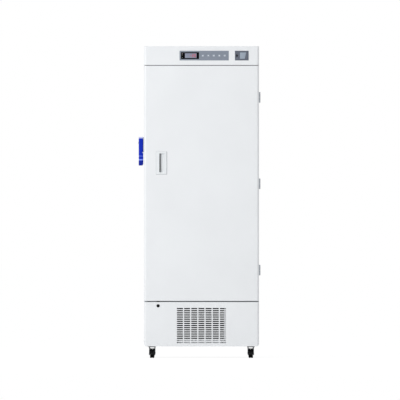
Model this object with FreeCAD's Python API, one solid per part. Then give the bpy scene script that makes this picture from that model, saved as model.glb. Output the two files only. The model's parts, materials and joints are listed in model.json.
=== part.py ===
# Upright laboratory freezer with one insulated door, a control header and a machine compartment below.
# Lengths are in millimetres and angles in degrees.
# x runs to the right, y runs from the door's face to the back, and z runs up from the floor.
import FreeCAD, Part
import math
import os

os.makedirs("parts", exist_ok=True)
V = FreeCAD.Vector

# Outer form
width = 713.0
ground_clear = 72.5
base_height = 275.0
lower_seam = 7.0
door_height = 1458.5
upper_seam = 4.0
header_height = 117.0
cabinet_depth = 658.0
door_thickness = 78.0
door_gap = 8.0
sheet = 1.0
edge_radius = 15.0
base_corner = 15.0
front_flange = 20.0
cover_gap = 0.3
cut_over = 1.0

# Insulation and storage space
side_wall = 95.0
back_wall = 91.0
floor_wall = 79.0
ceiling_wall = 90.0
machine_height = 278.5
electrics_height = 105.0
frame_thickness = 3.0
door_liner = 2.0
dyke_clear = 15.5
dyke_width = 40.0
dyke_depth = 30.0
dyke_chamfer = 4.0
gasket_width = 24.0
gasket_beyond = 27.5
soft_clear = 0.3

# Shelf coils
shelf_count = 4
pass_count = 6
pass_pitch = 84.0
tube_size = 8.0
wire_size = 3.0
wire_count = 11
shelf_front = 40.0
shelf_back = 40.0
rail_width = 12.0
rail_height = 16.0
rail_sheet = 2.0
wire_end_clear = 0.3
riser_gap = 20.0
riser_offset = 30.0
pipe_hole_clear = 1.0

# Machine compartment
chassis_rise = 7.5
chassis_sheet = 2.0
chassis_flange = 40.0
apron_inset = 25.0
vent_columns = 8
vent_rows = 2
vent_width = 8.0
vent_height = 60.0
vent_pitch_x = 30.0
vent_pitch_z = 80.0
vent_rise = 60.0

# Grille slots in the lower front panel
grille_columns = 7
grille_rows = 17
slot_width = 37.5
slot_height = 7.6
slot_pitch_x = 44.4
slot_pitch_z = 13.14
grille_shift = -0.5
grille_rise = 129.3

# Condenser, its fan and its shroud
coil_width = 304.0
coil_height = 224.0
coil_depth = 48.0
coil_setback = 38.0
coil_shift = -10.0
fin_pitch = 20.0
fin_sheet = 1.5
fin_length = 14.0
coil_flange = 14.0
coil_rows = 3
coil_row_pitch = 70.0
bend_stub = 6.0
ring_radius = 92.0
shroud_depth = 17.0
arm_lap = 10.0
blade_count = 5
blade_clear = 4.0
blade_chord = 34.0
blade_sheet = 1.5
blade_angle = 20.0
blade_root = 4.0
hub_radius = 18.0
hub_length = 12.0
hub_wall = 2.0
shaft_end_clear = 0.5
motor_size = 60.0
motor_length = 45.0
motor_coil_width = 36.0
motor_coil_drop = 14.0
shaft_radius = 3.0
turning_fit = 0.06
arm_width = 8.0
arm_sheet = 3.0

# Compressor, drier and pipes
compressor_x = 150.0
compressor_y = 470.0
compressor_radius = 88.0
compressor_height = 190.0
terminal_root = 13.0
terminal_width = 60.0
terminal_depth = 22.0
terminal_height = 45.0
terminal_rise = 40.0
foot_plate = 3.0
foot_height = 10.0
foot_size = 20.0
foot_spread_x = 90.0
foot_spread_y = 60.0
drier_x = -280.0
drier_y = 520.0
drier_radius = 14.0
drier_length = 110.0
drier_rise = 70.0
discharge_out = 50.0
discharge_rise = 60.0
suction_rise = 50.0
feed_drop = 30.0

# Control panel, its keys and the data panel in the header
panel_width = 305.0
panel_height = 59.5
panel_shift = 16.5
panel_proud = 1.2
panel_depth = 6.1
panel_rim = 4.0
window_width = 112.0
window_height = 42.0
window_inset = 8.5
window_sheet = 2.9
key_count = 5
key_width = 18.0
key_height = 14.0
key_to_window = 23.5
key_to_end = 25.0
key_chamfer = 0.8
key_stem = 6.0
key_proud = 0.6
key_depth = 4.2
key_travel = 0.8
trim_clear = 0.3
led_width = 72.0
led_height = 29.0
led_inset = 16.0
board_sheet = 1.6
tray_x = 40.0
tray_setback = 140.0
tray_width = 200.0
tray_length = 140.0
tray_wall = 2.0
tray_height = 8.0
board_edge = 8.0
post_size = 8.0
post_inset = 15.0
post_top = 10.0
transformer_size = 50.0
transformer_height = 34.0
transformer_x = -55.0
relay_count = 3
relay_pitch = 27.0
relay_width = 19.0
relay_length = 30.0
relay_height = 16.0
relay_x = 5.0
relay_y = 20.0
terminal_strip_length = 95.0
terminal_strip_width = 14.0
terminal_strip_height = 12.0
data_width = 85.0
data_shift = 249.5
port_width = 9.0
port_height = 15.0
port_depth = 12.0
port_inset = 8.5
port_floor = 2.0
port_tongue_gap = 0.9
port_tongue_set = 1.0
port_tongue_end = 0.8
socket_width = 5.4
socket_height = 12.4
tongue_sheet = 1.9
label_width = 39.0
label_gap = 14.0
label_edge = 10.0
label_slant = 9.0
label_recess = 0.5

# Door hinges
hinge_height = 65.0
hinge_pitch = 536.0
hinge_mid = 726.5
hinge_leaf = 3.0
hinge_set = 2.0
hinge_reach = 34.0
knuckle_radius = 4.5
knuckle_gap = 0.5
knuckle_side_clear = 0.2
knuckle_bevel = 2.5
hinge_pin_radius = 2.5
hinge_pin_length = 26.0

# Recessed door pull
pull_width = 66.0
pull_height = 140.0
pull_from_edge = 74.5
pull_mid = 856.0
pull_proud = 1.5
pull_chamfer = 0.9
scoop_width = 38.0
scoop_height = 118.0
scoop_depth = 22.0
scoop_inset = 21.0
scoop_wall = 3.0
lip_thickness = 4.0
ramp_shift = 4.0
ramp_depth = 13.6
undercut = 14.0

# Side latch
latch_pivot_y = 50.0
latch_pivot_rise = 980.5
latch_base_sheet = 4.0
latch_base_half = 26.0
latch_base_below = 60.0
lever_gap = 0.3
lever_thickness = 29.0
lever_above = 36.0
lever_below = 141.0
lever_half_top = 17.0
lever_half_bottom = 13.0
lever_taper = 2.5
lever_chamfer = 8.0
lever_toe = 4.0
band_heights = (34.0, 58.0)
band_width = 5.0
band_depth = 1.0
latch_pin_radius = 4.0
latch_pin_head = 13.0
latch_pin_head_length = 2.4
hook_inset = 4.0
hook_thickness = 12.0
hook_reach = 72.0
hook_tip = 10.0
hook_depth = 12.0
hook_corner = 4.0
hook_barb = 3.0
hook_slope = 0.18
hook_roller_gap = 2.0
hook_home_angle = 12.0
roller_radius = 5.0
roller_clear = 1.0
roller_back = 20.0
roller_length = 21.0
roller_head = 15.0
roller_head_length = 2.5
keeper_sheet = 3.0
keeper_length = 44.0
keeper_height = 70.0
keeper_setback = 6.0
plate_corner = 5.0

# Key lock in the lower panel
lock_x = -269.0
lock_drop = 23.2
barrel_half = 7.0
barrel_rim_radius = 10.0
barrel_rim = 2.0
barrel_length = 14.0
plug_radius = 6.0
plug_proud = 0.6
keyway_width = 1.6
keyway_height = 8.0
keyway_depth = 5.0
crank_radius = 8.5
crank_rest = 45.0
crank_sheet = 1.4
crank_width = 6.0
crank_pin_radius = 2.0
bolt_width = 19.0
bolt_sheet = 4.0
bolt_foot_width = 28.0
bolt_below = 16.0
bolt_show = 2.0
bolt_clear = 0.4
bolt_cap = 4.0
bolt_lap = 2.0
bolt_shoulder = 6.0
bolt_pocket_clear = 4.0
bolt_slot_slack = 0.45

# Casters
caster_inset = 50.0
caster_setback = 34.0
caster_back_inset = 70.0
wheel_radius = 25.0
wheel_width = 26.0
axle_radius = 4.0
axle_head_size = 12.0
axle_head = 1.5
trail = 22.0
fork_gap = 29.0
fork_sheet = 4.5
fork_crown = 3.0
race_gap = 0.3
race_half = 19.0
king_radius = 5.0
mount_size = 54.0
mount_sheet = 3.0
race_sheet = 4.2
leg_front = 20.0
leg_back = 14.0
leg_foot = 9.0
leg_drop = 8.0
pedal_clear = 4.0
pedal_sheet = 3.0
pedal_width = 37.0
pedal_neck = 26.0
pedal_arm = 4.0
pedal_low_angle = 188.0
pedal_high_angle = 116.0
pedal_folds = 3
pedal_pivot_back = 8.0
pedal_pivot_up = 32.0
pedal_boss = 4.0
pivot_radius = 2.2

# Power inlet on the back
inlet_x = -220.0
inlet_rise = 60.0
inlet_width = 24.0
inlet_height = 16.6
inlet_wall = 3.0
inlet_flange = 2.0
inlet_lip = 4.0
inlet_depth = 16.0
blade_pin_length = 11.0
blade_pin_width = 2.0
blade_pin_height = 4.0
blade_pin_pitch = 7.0
blade_pin_offset = 3.0

# Heights and planes that follow from the values above
half = width / 2
base_top = ground_clear + base_height
door_low = base_top + lower_seam
door_top = door_low + door_height
header_low = door_top + upper_seam
top = header_low + header_height
front_depth = door_thickness + door_gap
back = front_depth + cabinet_depth
foam_low = ground_clear + machine_height
foam_top = top - sheet - electrics_height
store_half = half - side_wall - sheet
store_low = foam_low + floor_wall + sheet
store_top = foam_top - ceiling_wall - sheet
store_back = back - back_wall - sheet
shell_low = ground_clear + base_corner
chassis_low = ground_clear + chassis_rise
chassis_top = chassis_low + chassis_sheet
hinge_x = half + knuckle_side_clear + knuckle_radius
hinge_y = door_thickness + door_gap / 2
latch_z = door_low + latch_pivot_rise
lever_inner = latch_base_sheet + lever_gap
lever_outer = lever_inner + lever_thickness
roller_y = front_depth + roller_back
lock_z = base_top - lock_drop
panel_z = header_low + header_height / 2
caster_front_y = front_depth + caster_setback
caster_back_y = back - caster_back_inset
fork_top = chassis_low - mount_sheet - race_sheet - race_gap
key_room = panel_width - window_inset - window_width - key_to_window - key_to_end
key_pitch = key_room / (key_count - 1)
key_first = panel_shift + panel_width / 2 - key_to_end
reach_left = lever_outer + lever_gap + latch_pin_head_length
reach_right = knuckle_side_clear + 2 * knuckle_radius
reach_front = barrel_rim + plug_proud
centre_x = (reach_right - reach_left) / 2
centre_y = (back + inlet_flange - reach_front) / 2

PLAN = (lambda a, b: V(a, b, 0), V(0, 0, 1))
SIDE = (lambda a, b: V(0, a, b), V(1, 0, 0))
FRONT = (lambda a, b: V(a, 0, b), V(0, 1, 0))


def box(x0, x1, y0, y1, z0, z1):
    return Part.makeBox(x1 - x0, y1 - y0, z1 - z0, V(x0, y0, z0))


def outline(place, start, *steps):
    """A closed wire. A step is the next point, or the middle and end points of an arc."""
    edges = []
    last = place(*start)
    for step in steps + (start,):
        if isinstance(step[0], tuple):
            end = place(*step[1])
            edges.append(Part.Arc(last, place(*step[0]), end).toShape())
        else:
            end = place(*step)
            if (end - last).Length > 1e-6:
                edges.append(Part.LineSegment(last, end).toShape())
        last = end
    return Part.Wire(edges)


def prism(plane, low, high, start, *steps):
    """The outline in a plane, extruded along the plane's normal from low to high."""
    place, normal = plane
    face = Part.Face(outline(place, start, *steps))
    face.translate(normal * low)
    return face.extrude(normal * (high - low))


def turned(origin, axis, radial, start, *steps):
    """The solid that a profile of (distance along the axis, radius) sweeps in one full turn."""
    face = Part.Face(outline(lambda a, r: origin + axis * a + radial * r, start, *steps))
    return face.revolve(origin, axis, 360)


def rod(origin, axis, radius, length):
    return Part.makeCylinder(radius, length, origin, axis)


def joined(shapes):
    return shapes[0].multiFuse(shapes[1:]).removeSplitter()


def without(shape, cutters):
    return shape.cut(Part.makeCompound(cutters))


def tube_section(point, direction, size):
    """A hexagon across the direction, with two sides level."""
    side_way = direction.cross(V(0, 0, 1))
    if side_way.Length < 0.1:
        side_way = V(1, 0, 0)
    side_way.normalize()
    up_way = side_way.cross(direction)
    reach = size / 2 / math.cos(math.pi / 6)
    corners = []
    for k in range(6):
        turn = math.radians(60 * k)
        corners.append(point + side_way * (reach * math.cos(turn)) + up_way * (reach * math.sin(turn)))
    return Part.makePolygon(corners + corners[:1])


def tube(points, size):
    """A pipe along straight runs that meet at mitred corners."""
    section = tube_section(points[0], (points[1] - points[0]).normalize(), size)
    return Part.makePolygon(points).makePipeShell([section], True, False, 1)


def save(node, *solids):
    """Writes one node, moved so that the middle of the whole freezer is at x 0 and y 0."""
    shape = solids[0] if len(solids) == 1 else Part.makeCompound(list(solids))
    shape.translate(V(-centre_x, -centre_y, 0))
    shape.exportStep("parts/" + node + ".step")


def front_form(inset, depth, low, high, low_corner=0.0):
    """A block with rounded upright front edges, and rounded lower corners where asked."""
    block = box(inset - half, half - inset, inset, depth, low + inset, high - inset)
    upright = [e for e in block.Edges if abs(e.CenterOfMass.y - inset) < 1e-6 and e.BoundBox.ZLength > 1]
    block = block.makeFillet(edge_radius - inset, [e for e in upright if e.BoundBox.XLength < 1e-6])
    if low_corner:
        other = box(inset - half, half - inset, inset, depth, low + inset, high - inset)
        lower = [e for e in other.Edges if abs(e.CenterOfMass.z - low - inset) < 1e-6]
        other = other.makeFillet(low_corner - inset, [e for e in lower if e.BoundBox.YLength > 1])
        block = block.common(other)
    return block


def front_shell(depth, low, high, low_corner=0.0):
    """A folded sheet with a front, two sides, a top and a bottom, open at the back."""
    outer = front_form(0.0, depth, low, high, low_corner)
    inner = front_form(sheet, depth + edge_radius, low, high, low_corner)
    return outer.cut(inner)


# Cabinet shell


def side_panel(sign):
    inner = half - sheet
    return prism(
        PLAN, shell_low, top - sheet,
        (sign * half, front_depth), (sign * half, back - sheet), (sign * inner, back - sheet),
        (sign * inner, front_depth + sheet), (sign * (half - front_flange), front_depth + sheet),
        (sign * (half - front_flange), front_depth),
    )


def back_panel():
    panel = box(-half, half, back - sheet, back, shell_low, top - sheet)
    vents = []
    for row in range(vent_rows):
        for column in range(vent_columns):
            x = (column - (vent_columns - 1) / 2) * vent_pitch_x
            z = chassis_top + vent_rise + row * vent_pitch_z
            x0, x1 = x - vent_width / 2, x + vent_width / 2
            vents.append(box(x0, x1, back - 2 * sheet, back + sheet, z, z + vent_height))
    hole_x = inlet_width / 2 + inlet_wall + trim_clear
    hole_z = inlet_height / 2 + inlet_wall + trim_clear
    z = chassis_top + inlet_rise
    x0, x1 = inlet_x - hole_x, inlet_x + hole_x
    vents.append(box(x0, x1, back - 2 * sheet, back + sheet, z - hole_z, z + hole_z))
    return without(panel, vents)


def pipe_holes():
    """Cutters for the two pipes that rise through the cabinet floor."""
    reach = tube_size / 2 / math.cos(math.pi / 6) + pipe_hole_clear
    cutters = []
    low, high = foam_low - cut_over, store_low + cut_over
    for x in (-riser_x, suction_x):
        cutters.append(box(x - reach, x + reach, riser_y - reach, riser_y + reach, low, high))
    return cutters


def store_block(front):
    """The storage space with the liner's sheet round it."""
    reach = store_half + sheet
    return box(-reach, reach, front, store_back + sheet, store_low - sheet, store_top + sheet)


def insulation_foam():
    block = box(sheet - half, half - sheet, front_depth + frame_thickness, back - sheet, foam_low, foam_top)
    store = store_block(front_depth)
    return without(block, [store] + pipe_holes())


def inner_liner():
    front = front_depth + frame_thickness
    outer = store_block(front)
    inner = box(-store_half, store_half, front - sheet, store_back, store_low, store_top)
    return without(outer, [inner] + pipe_holes())


def breaker_frame():
    reach = half - front_flange
    plate = box(-reach, reach, front_depth, front_depth + frame_thickness, foam_low, foam_top)
    y0, y1 = front_depth - cut_over, front_depth + frame_thickness + cut_over
    return plate.cut(box(-store_half, store_half, y0, y1, store_low, store_top))


def base_chassis():
    """A tray that stands behind the side panels' flanges, with an apron under the lower front panel."""
    near, high = front_depth + sheet, chassis_low + chassis_flange
    outer = box(sheet - half, half - sheet, near, back - sheet, chassis_low, high)
    inset = sheet + chassis_sheet
    inner = box(inset - half, half - inset, 0, back, chassis_top, high + cut_over)
    reach = half - apron_inset
    apron = box(-reach, reach, sheet + cover_gap, near, chassis_low, chassis_top)
    return joined([outer.cut(inner), apron])


save("left_side_panel", side_panel(-1))
save("right_side_panel", side_panel(1))
save("back_panel", back_panel())
save("top_panel", box(-half, half, front_depth, back, top - sheet, top))

# Shelf coils and their pipes
pass_reach = (pass_count - 1) * pass_pitch / 2
riser_x = pass_reach
suction_x = pass_reach + riser_offset
shelf_y0 = front_depth + shelf_front
shelf_y1 = store_back - shelf_back
riser_y = shelf_y1 + riser_gap
shelf_gap = (store_top - store_low) / (shelf_count + 1)
bend_radius = pass_pitch / 2
bend_front_y = shelf_y0 + bend_radius + tube_size / 2
bend_back_y = shelf_y1 - bend_radius - tube_size / 2
shelf_heights = [store_low + shelf_gap * (i + 1) for i in range(shelf_count)]


def serpentine(z):
    """The shelf's refrigerant tube, whose passes are joined by turns of three short runs."""
    cut = bend_radius * math.tan(math.pi / 8)
    points = [V(-pass_reach, shelf_y1, z)]
    for i in range(pass_count - 1):
        x = i * pass_pitch - pass_reach
        to_front = i % 2 == 0
        side_y = bend_front_y - cut if to_front else bend_back_y + cut
        peak_y = bend_front_y - bend_radius if to_front else bend_back_y + bend_radius
        points.append(V(x, side_y, z))
        points.append(V(x + bend_radius - cut, peak_y, z))
        points.append(V(x + bend_radius + cut, peak_y, z))
        points.append(V(x + pass_pitch, side_y, z))
    points.append(V(pass_reach, shelf_y1, z))
    return tube(points, tube_size)


def evaporator_shelf(z):
    """A serpentine tube with cross wires on its upper side."""
    reach = store_half - wire_end_clear
    pitch = (shelf_y1 - shelf_y0 - wire_size) / (wire_count - 1)
    low = z + tube_size / 2
    wires = []
    for i in range(wire_count):
        y = shelf_y0 + i * pitch
        wires.append(box(-reach, reach, y, y + wire_size, low, low + wire_size))
    return [serpentine(z)] + wires


def shelf_rail(sign, z):
    """An angle on the liner's wall that carries the ends of a shelf's wires."""
    seat = z + tube_size / 2
    wall, web, lip = sign * store_half, sign * (store_half - rail_sheet), sign * (store_half - rail_width)
    return prism(
        FRONT, shelf_y0, shelf_y1,
        (wall, seat), (lip, seat), (lip, seat - rail_sheet), (web, seat - rail_sheet),
        (web, seat - rail_height), (wall, seat - rail_height),
    )


def risers():
    """Pipes at the back that carry the refrigerant from shelf to shelf, alternately right and left."""
    pipes = []
    for i in range(shelf_count - 1):
        x = riser_x if i % 2 == 0 else -riser_x
        low, high = shelf_heights[i], shelf_heights[i + 1]
        points = [V(x, shelf_y1, low), V(x, riser_y, low), V(x, riser_y, high), V(x, shelf_y1, high)]
        pipes.append(tube(points, tube_size))
    return pipes


save("insulation_foam", insulation_foam())
save("inner_liner", inner_liner())
save("breaker_frame", breaker_frame())
save("base_chassis", base_chassis())
for number, height in enumerate(shelf_heights, 1):
    save("evaporator_shelf_%d" % number, *evaporator_shelf(height))
save("shelf_supports", *[shelf_rail(sign, z) for z in shelf_heights for sign in (-1, 1)])

# Machine compartment
coil_x = coil_shift
coil_low = chassis_top
coil_top = coil_low + coil_height
coil_y1 = coil_setback + coil_depth
coil_mid_z = coil_low + coil_height / 2
fan_y = coil_y1 + fin_sheet
compressor_low = chassis_top + foot_height
drier_low = chassis_top + drier_rise


def coil_end_plate(sign):
    """A bracket at one end of the condenser, with a flange that faces the grille."""
    outer = coil_x + sign * coil_width / 2
    inner = outer - sign * fin_sheet
    return prism(
        PLAN, coil_low, coil_top,
        (inner, coil_y1), (outer, coil_y1), (outer, coil_setback + fin_sheet),
        (outer + sign * coil_flange, coil_setback + fin_sheet), (outer + sign * coil_flange, coil_setback),
        (inner, coil_setback),
    )


def fin_block():
    """The condenser's core, whose fins stand out towards the front and the back."""
    x = coil_x - coil_width / 2 + fin_sheet
    far = coil_x + coil_width / 2 - fin_sheet
    y0 = coil_setback + fin_sheet
    count = int((far - x) / fin_pitch)
    step = (far - x - fin_sheet) / count
    front = []
    rear = []
    for i in range(count + 1):
        a = x + i * step
        fin = [(a, y0 + fin_length), (a, y0), (a + fin_sheet, y0), (a + fin_sheet, y0 + fin_length)]
        front += fin[1:] if i == 0 else fin[:3] if i == count else fin
        other = [(p[0], coil_y1 + y0 - p[1]) for p in fin]
        rear += other[1:] if i == 0 else other[:3] if i == count else other
    points = front + rear[::-1]
    low = coil_mid_z - coil_row_pitch * coil_rows / 2
    return prism(PLAN, low, low + coil_row_pitch * coil_rows, points[0], *points[1:])


def coil_row_z(row):
    return coil_mid_z + (row - (coil_rows - 1) / 2) * coil_row_pitch


def return_bends():
    """Half turns that join the condenser's tube rows outside its end plates."""
    bends = []
    y = (coil_setback + coil_y1) / 2
    for row in range(coil_rows - 1):
        sign = -1 if row % 2 else 1
        x = coil_x + sign * coil_width / 2
        out = x + sign * (coil_row_pitch / 2 + bend_stub)
        low, high = coil_row_z(row), coil_row_z(row + 1)
        points = [V(x, y, low), V(out, y, low), V(out, y, high), V(x, y, high)]
        bends.append(tube(points, tube_size))
    return bends


def fan_shroud():
    """A shallow tray behind the condenser with a round hole for the fan."""
    x0, x1 = coil_x - coil_width / 2, coil_x + coil_width / 2
    rear = fan_y + shroud_depth
    outer = box(x0, x1, coil_y1, rear, coil_low, coil_top)
    inner = box(
        x0 + fin_sheet, x1 - fin_sheet, coil_y1 - cut_over, rear - fin_sheet,
        coil_low + fin_sheet, coil_top - fin_sheet,
    )
    hole = rod(V(coil_x, coil_y1, coil_mid_z), V(0, 1, 0), ring_radius, 2 * shroud_depth)
    return without(outer, [inner, hole])


def fan_motor():
    """A square motor behind the shroud, on three arms, with its shaft towards the condenser."""
    rear = fan_y + shroud_depth
    middle = V(coil_x, rear, coil_mid_z)
    size, wide = motor_size / 2, motor_coil_width / 2
    pieces = [box(
        coil_x - size, coil_x + size, rear, rear + motor_length, coil_mid_z - size, coil_mid_z + size
    )]
    pieces.append(box(
        coil_x - wide, coil_x + wide, rear + arm_sheet, rear + motor_length - arm_sheet,
        coil_mid_z - size - motor_coil_drop, coil_mid_z,
    ))
    for i in range(3):
        arm = box(0, ring_radius + arm_lap, 0, arm_sheet, -arm_width / 2, arm_width / 2)
        arm.rotate(V(0, 0, 0), V(0, 1, 0), 90 + 120 * i)
        arm.translate(middle)
        pieces.append(arm)
    shaft_length = (shroud_depth + hub_length) / 2 - hub_wall - shaft_end_clear
    pieces.append(rod(middle - V(0, shaft_length, 0), V(0, 1, 0), shaft_radius, shaft_length))
    return joined(pieces)


def fan_blade():
    """A flat-sided hub with pitched blades, bored for the motor's shaft."""
    hub_y = fan_y + (shroud_depth - hub_length) / 2
    middle = V(coil_x, hub_y + hub_length / 2, coil_mid_z)
    corners = []
    for i in range(2 * blade_count):
        turn = math.pi * (i + 0.5) / blade_count
        corners.append((coil_x + hub_radius * math.cos(turn), coil_mid_z + hub_radius * math.sin(turn)))
    pieces = [prism(FRONT, hub_y, hub_y + hub_length, corners[0], *corners[1:])]
    tip = math.sqrt((ring_radius - blade_clear) ** 2 - (blade_chord / 2) ** 2)
    for i in range(blade_count):
        root, thick, wide = hub_radius - blade_root, blade_sheet / 2, blade_chord / 2
        blade = box(root, tip, -thick, thick, -wide, wide)
        blade.rotate(V(0, 0, 0), V(1, 0, 0), blade_angle)
        blade.rotate(V(0, 0, 0), V(0, 1, 0), 360 * i / blade_count)
        blade.translate(middle)
        pieces.append(blade)
    bore = rod(V(coil_x, hub_y + hub_wall, coil_mid_z), V(0, 1, 0), shaft_radius + turning_fit, hub_length)
    return joined(pieces).cut(bore)


def compressor():
    """A welded steel shell on a foot plate with four rubber feet."""
    x, y, r = compressor_x, compressor_y, compressor_radius
    shell_low = compressor_low + foot_plate
    shell = rod(V(x, y, shell_low), V(0, 0, 1), r, compressor_height)
    reach_x, reach_y = foot_spread_x + foot_size, foot_spread_y + foot_size
    plate = box(x - reach_x, x + reach_x, y - reach_y, y + reach_y, compressor_low, shell_low)
    terminals = box(
        x - terminal_width / 2, x + terminal_width / 2, y - r - terminal_depth, y - r + terminal_root,
        shell_low + terminal_rise, shell_low + terminal_rise + terminal_height,
    )
    pieces = [shell, plate, terminals]
    for sx in (-1, 1):
        for sy in (-1, 1):
            fx, fy = x + sx * foot_spread_x, y + sy * foot_spread_y
            size = foot_size / 2
            pieces.append(box(fx - size, fx + size, fy - size, fy + size, chassis_top, compressor_low))
    return joined(pieces)


def filter_drier():
    """The canister that is brazed into the liquid line."""
    low = V(drier_x, drier_y, drier_low)
    return rod(low, V(0, 0, 1), drier_radius, drier_length)


def refrigerant_pipes():
    y = (coil_setback + coil_y1) / 2
    right = coil_x + coil_width / 2
    left = coil_x - coil_width / 2
    high, low = coil_row_z(coil_rows - 1), coil_row_z(0)
    shell_x = compressor_x + compressor_radius
    out_x = shell_x + discharge_out
    out_z = compressor_low + discharge_rise
    discharge = [
        V(shell_x, compressor_y, out_z), V(out_x, compressor_y, out_z), V(out_x, compressor_y, high),
        V(out_x, y, high), V(right, y, high),
    ]
    liquid = [
        V(left, y, low), V(drier_x, y, low), V(drier_x, drier_y, low), V(drier_x, drier_y, drier_low),
    ]
    feed_z = foam_low - feed_drop
    feed = [
        V(drier_x, drier_y, drier_low + drier_length), V(drier_x, drier_y, feed_z),
        V(-riser_x, riser_y, feed_z), V(-riser_x, riser_y, shelf_heights[0]),
        V(-riser_x, shelf_y1, shelf_heights[0]),
    ]
    low_z = compressor_low + suction_rise
    shell_y = compressor_y + compressor_radius
    suction = [
        V(riser_x, shelf_y1, shelf_heights[-1]), V(riser_x, riser_y, shelf_heights[-1]),
        V(suction_x, riser_y, shelf_heights[-1]), V(suction_x, riser_y, low_z),
        V(compressor_x, riser_y, low_z), V(compressor_x, shell_y, low_z),
    ]
    pipes = [tube(points, tube_size) for points in (discharge, liquid, feed, suction)]
    return pipes + risers() + [filter_drier()]


save("condenser_coil", coil_end_plate(-1), coil_end_plate(1), fin_block(), *return_bends())
save("fan_shroud", fan_shroud())
save("fan_motor", fan_motor())
save("fan_blade", fan_blade())
save("compressor", compressor())
save("refrigerant_pipes", *refrigerant_pipes())


# Front covers


def lock_bolt_mid_y():
    return barrel_length - barrel_rim + soft_clear + crank_sheet + bolt_clear + bolt_sheet / 2


def bolt_gap(x_clear, y_clear, low, high):
    """The space that the lock bolt's upper end passes through."""
    y = lock_bolt_mid_y()
    reach_x = bolt_width / 2 + x_clear
    reach_y = bolt_sheet / 2 + y_clear
    return box(lock_x - reach_x, lock_x + reach_x, y - reach_y, y + reach_y, low, high)


def lower_front_panel():
    shell = front_shell(front_depth - cover_gap, ground_clear, base_top, base_corner)
    mid_z = ground_clear + grille_rise
    slots = []
    for column in range(grille_columns):
        x = grille_shift + (column - (grille_columns - 1) / 2) * slot_pitch_x
        for row in range(grille_rows):
            z = mid_z + (row - (grille_rows - 1) / 2) * slot_pitch_z
            x0, z0 = x - slot_width / 2, z - slot_height / 2
            slots.append(box(x0, x0 + slot_width, -cut_over, 2 * sheet, z0, z0 + slot_height))
    reach = barrel_half + turning_fit
    lock_hole = box(lock_x - reach, lock_x + reach, -cut_over, 2 * sheet, lock_z - reach, lock_z + reach)
    bolt_hole = bolt_gap(bolt_clear, bolt_clear, base_top - 2 * sheet, base_top + sheet)
    reach = half - 2 * front_flange
    under = box(-reach, reach, front_flange, front_depth, ground_clear - cut_over, ground_clear + 2 * sheet)
    return without(shell, slots + [lock_hole, bolt_hole, under])


def panel_body(shift, wide):
    """A trim plate on the header with a narrower body behind it that fills its opening."""
    x, z = shift, panel_z
    plate = box(x - wide / 2, x + wide / 2, -panel_proud, 0, z - panel_height / 2, z + panel_height / 2)
    reach_x, reach_z = wide / 2 - panel_rim, panel_height / 2 - panel_rim
    body = box(x - reach_x, x + reach_x, 0, panel_depth, z - reach_z, z + reach_z)
    return joined([plate, body])


def header_cover():
    shell = front_shell(front_depth - cover_gap, header_low, top)
    holes = []
    for shift, wide in ((panel_shift, panel_width), (data_shift, data_width)):
        reach_x = wide / 2 - panel_rim + trim_clear
        reach_z = panel_height / 2 - panel_rim + trim_clear
        z0, z1 = panel_z - reach_z, panel_z + reach_z
        holes.append(box(shift - reach_x, shift + reach_x, -cut_over, 2 * sheet, z0, z1))
    return without(shell, holes)


def window_box(grow, y0, y1):
    x0 = panel_shift - panel_width / 2 + window_inset
    z = panel_z
    high = window_height / 2 + grow
    return box(x0 - grow, x0 + window_width + grow, y0, y1, z - high, z + high)


def key_x(number):
    return key_first - (key_count - 1 - number) * key_pitch


def key_box(number, grow, y0, y1):
    x = key_x(number)
    wide, high = key_width / 2 + grow, key_height / 2 + grow
    return box(x - wide, x + wide, y0, y1, panel_z - high, panel_z + high)


def control_panel():
    near, far = -panel_proud - cut_over, panel_depth + cut_over
    holes = [window_box(trim_clear, near, far)]
    for number in range(key_count):
        holes.append(key_box(number, trim_clear, near, far))
    return without(panel_body(panel_shift, panel_width), holes)


def display_window():
    return window_box(0.0, -panel_proud, window_sheet - panel_proud)


def display_key(number):
    cap = key_box(number, 0.0, -panel_proud - key_proud, key_depth)
    front = [e for e in cap.Edges if abs(e.CenterOfMass.y + panel_proud + key_proud) < 1e-6]
    return cap.makeChamfer(key_chamfer, front)


def control_boards():
    """The display board behind the panel, and the main board on the insulation."""
    led_y = window_sheet - panel_proud + soft_clear
    x0 = panel_shift - panel_width / 2 + window_inset + led_inset
    board_x = panel_width / 2 - panel_rim
    board_z = panel_height / 2 - panel_rim
    pieces = [box(
        panel_shift - board_x, panel_shift + board_x, panel_depth, panel_depth + board_sheet,
        panel_z - board_z, panel_z + board_z,
    )]
    led_z = panel_z - led_height / 2
    pieces.append(box(x0, x0 + led_width, led_y, panel_depth, led_z, led_z + led_height))
    dome = panel_depth - key_depth - key_travel - soft_clear
    wide = key_stem / 2
    for number in range(key_count):
        x = key_x(number)
        y0, y1 = panel_depth - dome, panel_depth
        pieces.append(box(x - wide, x + wide, y0, y1, panel_z - wide, panel_z + wide))
    return [joined(pieces), main_board()]


def tray_box(reach_x, reach_y, low, high, x=0.0, y=0.0):
    """A block on the electrics tray, placed from the tray's middle."""
    mid_x, mid_y = tray_x + x, front_depth + tray_setback + y
    z0, z1 = foam_top + low, foam_top + high
    return box(mid_x - reach_x, mid_x + reach_x, mid_y - reach_y, mid_y + reach_y, z0, z1)


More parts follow.
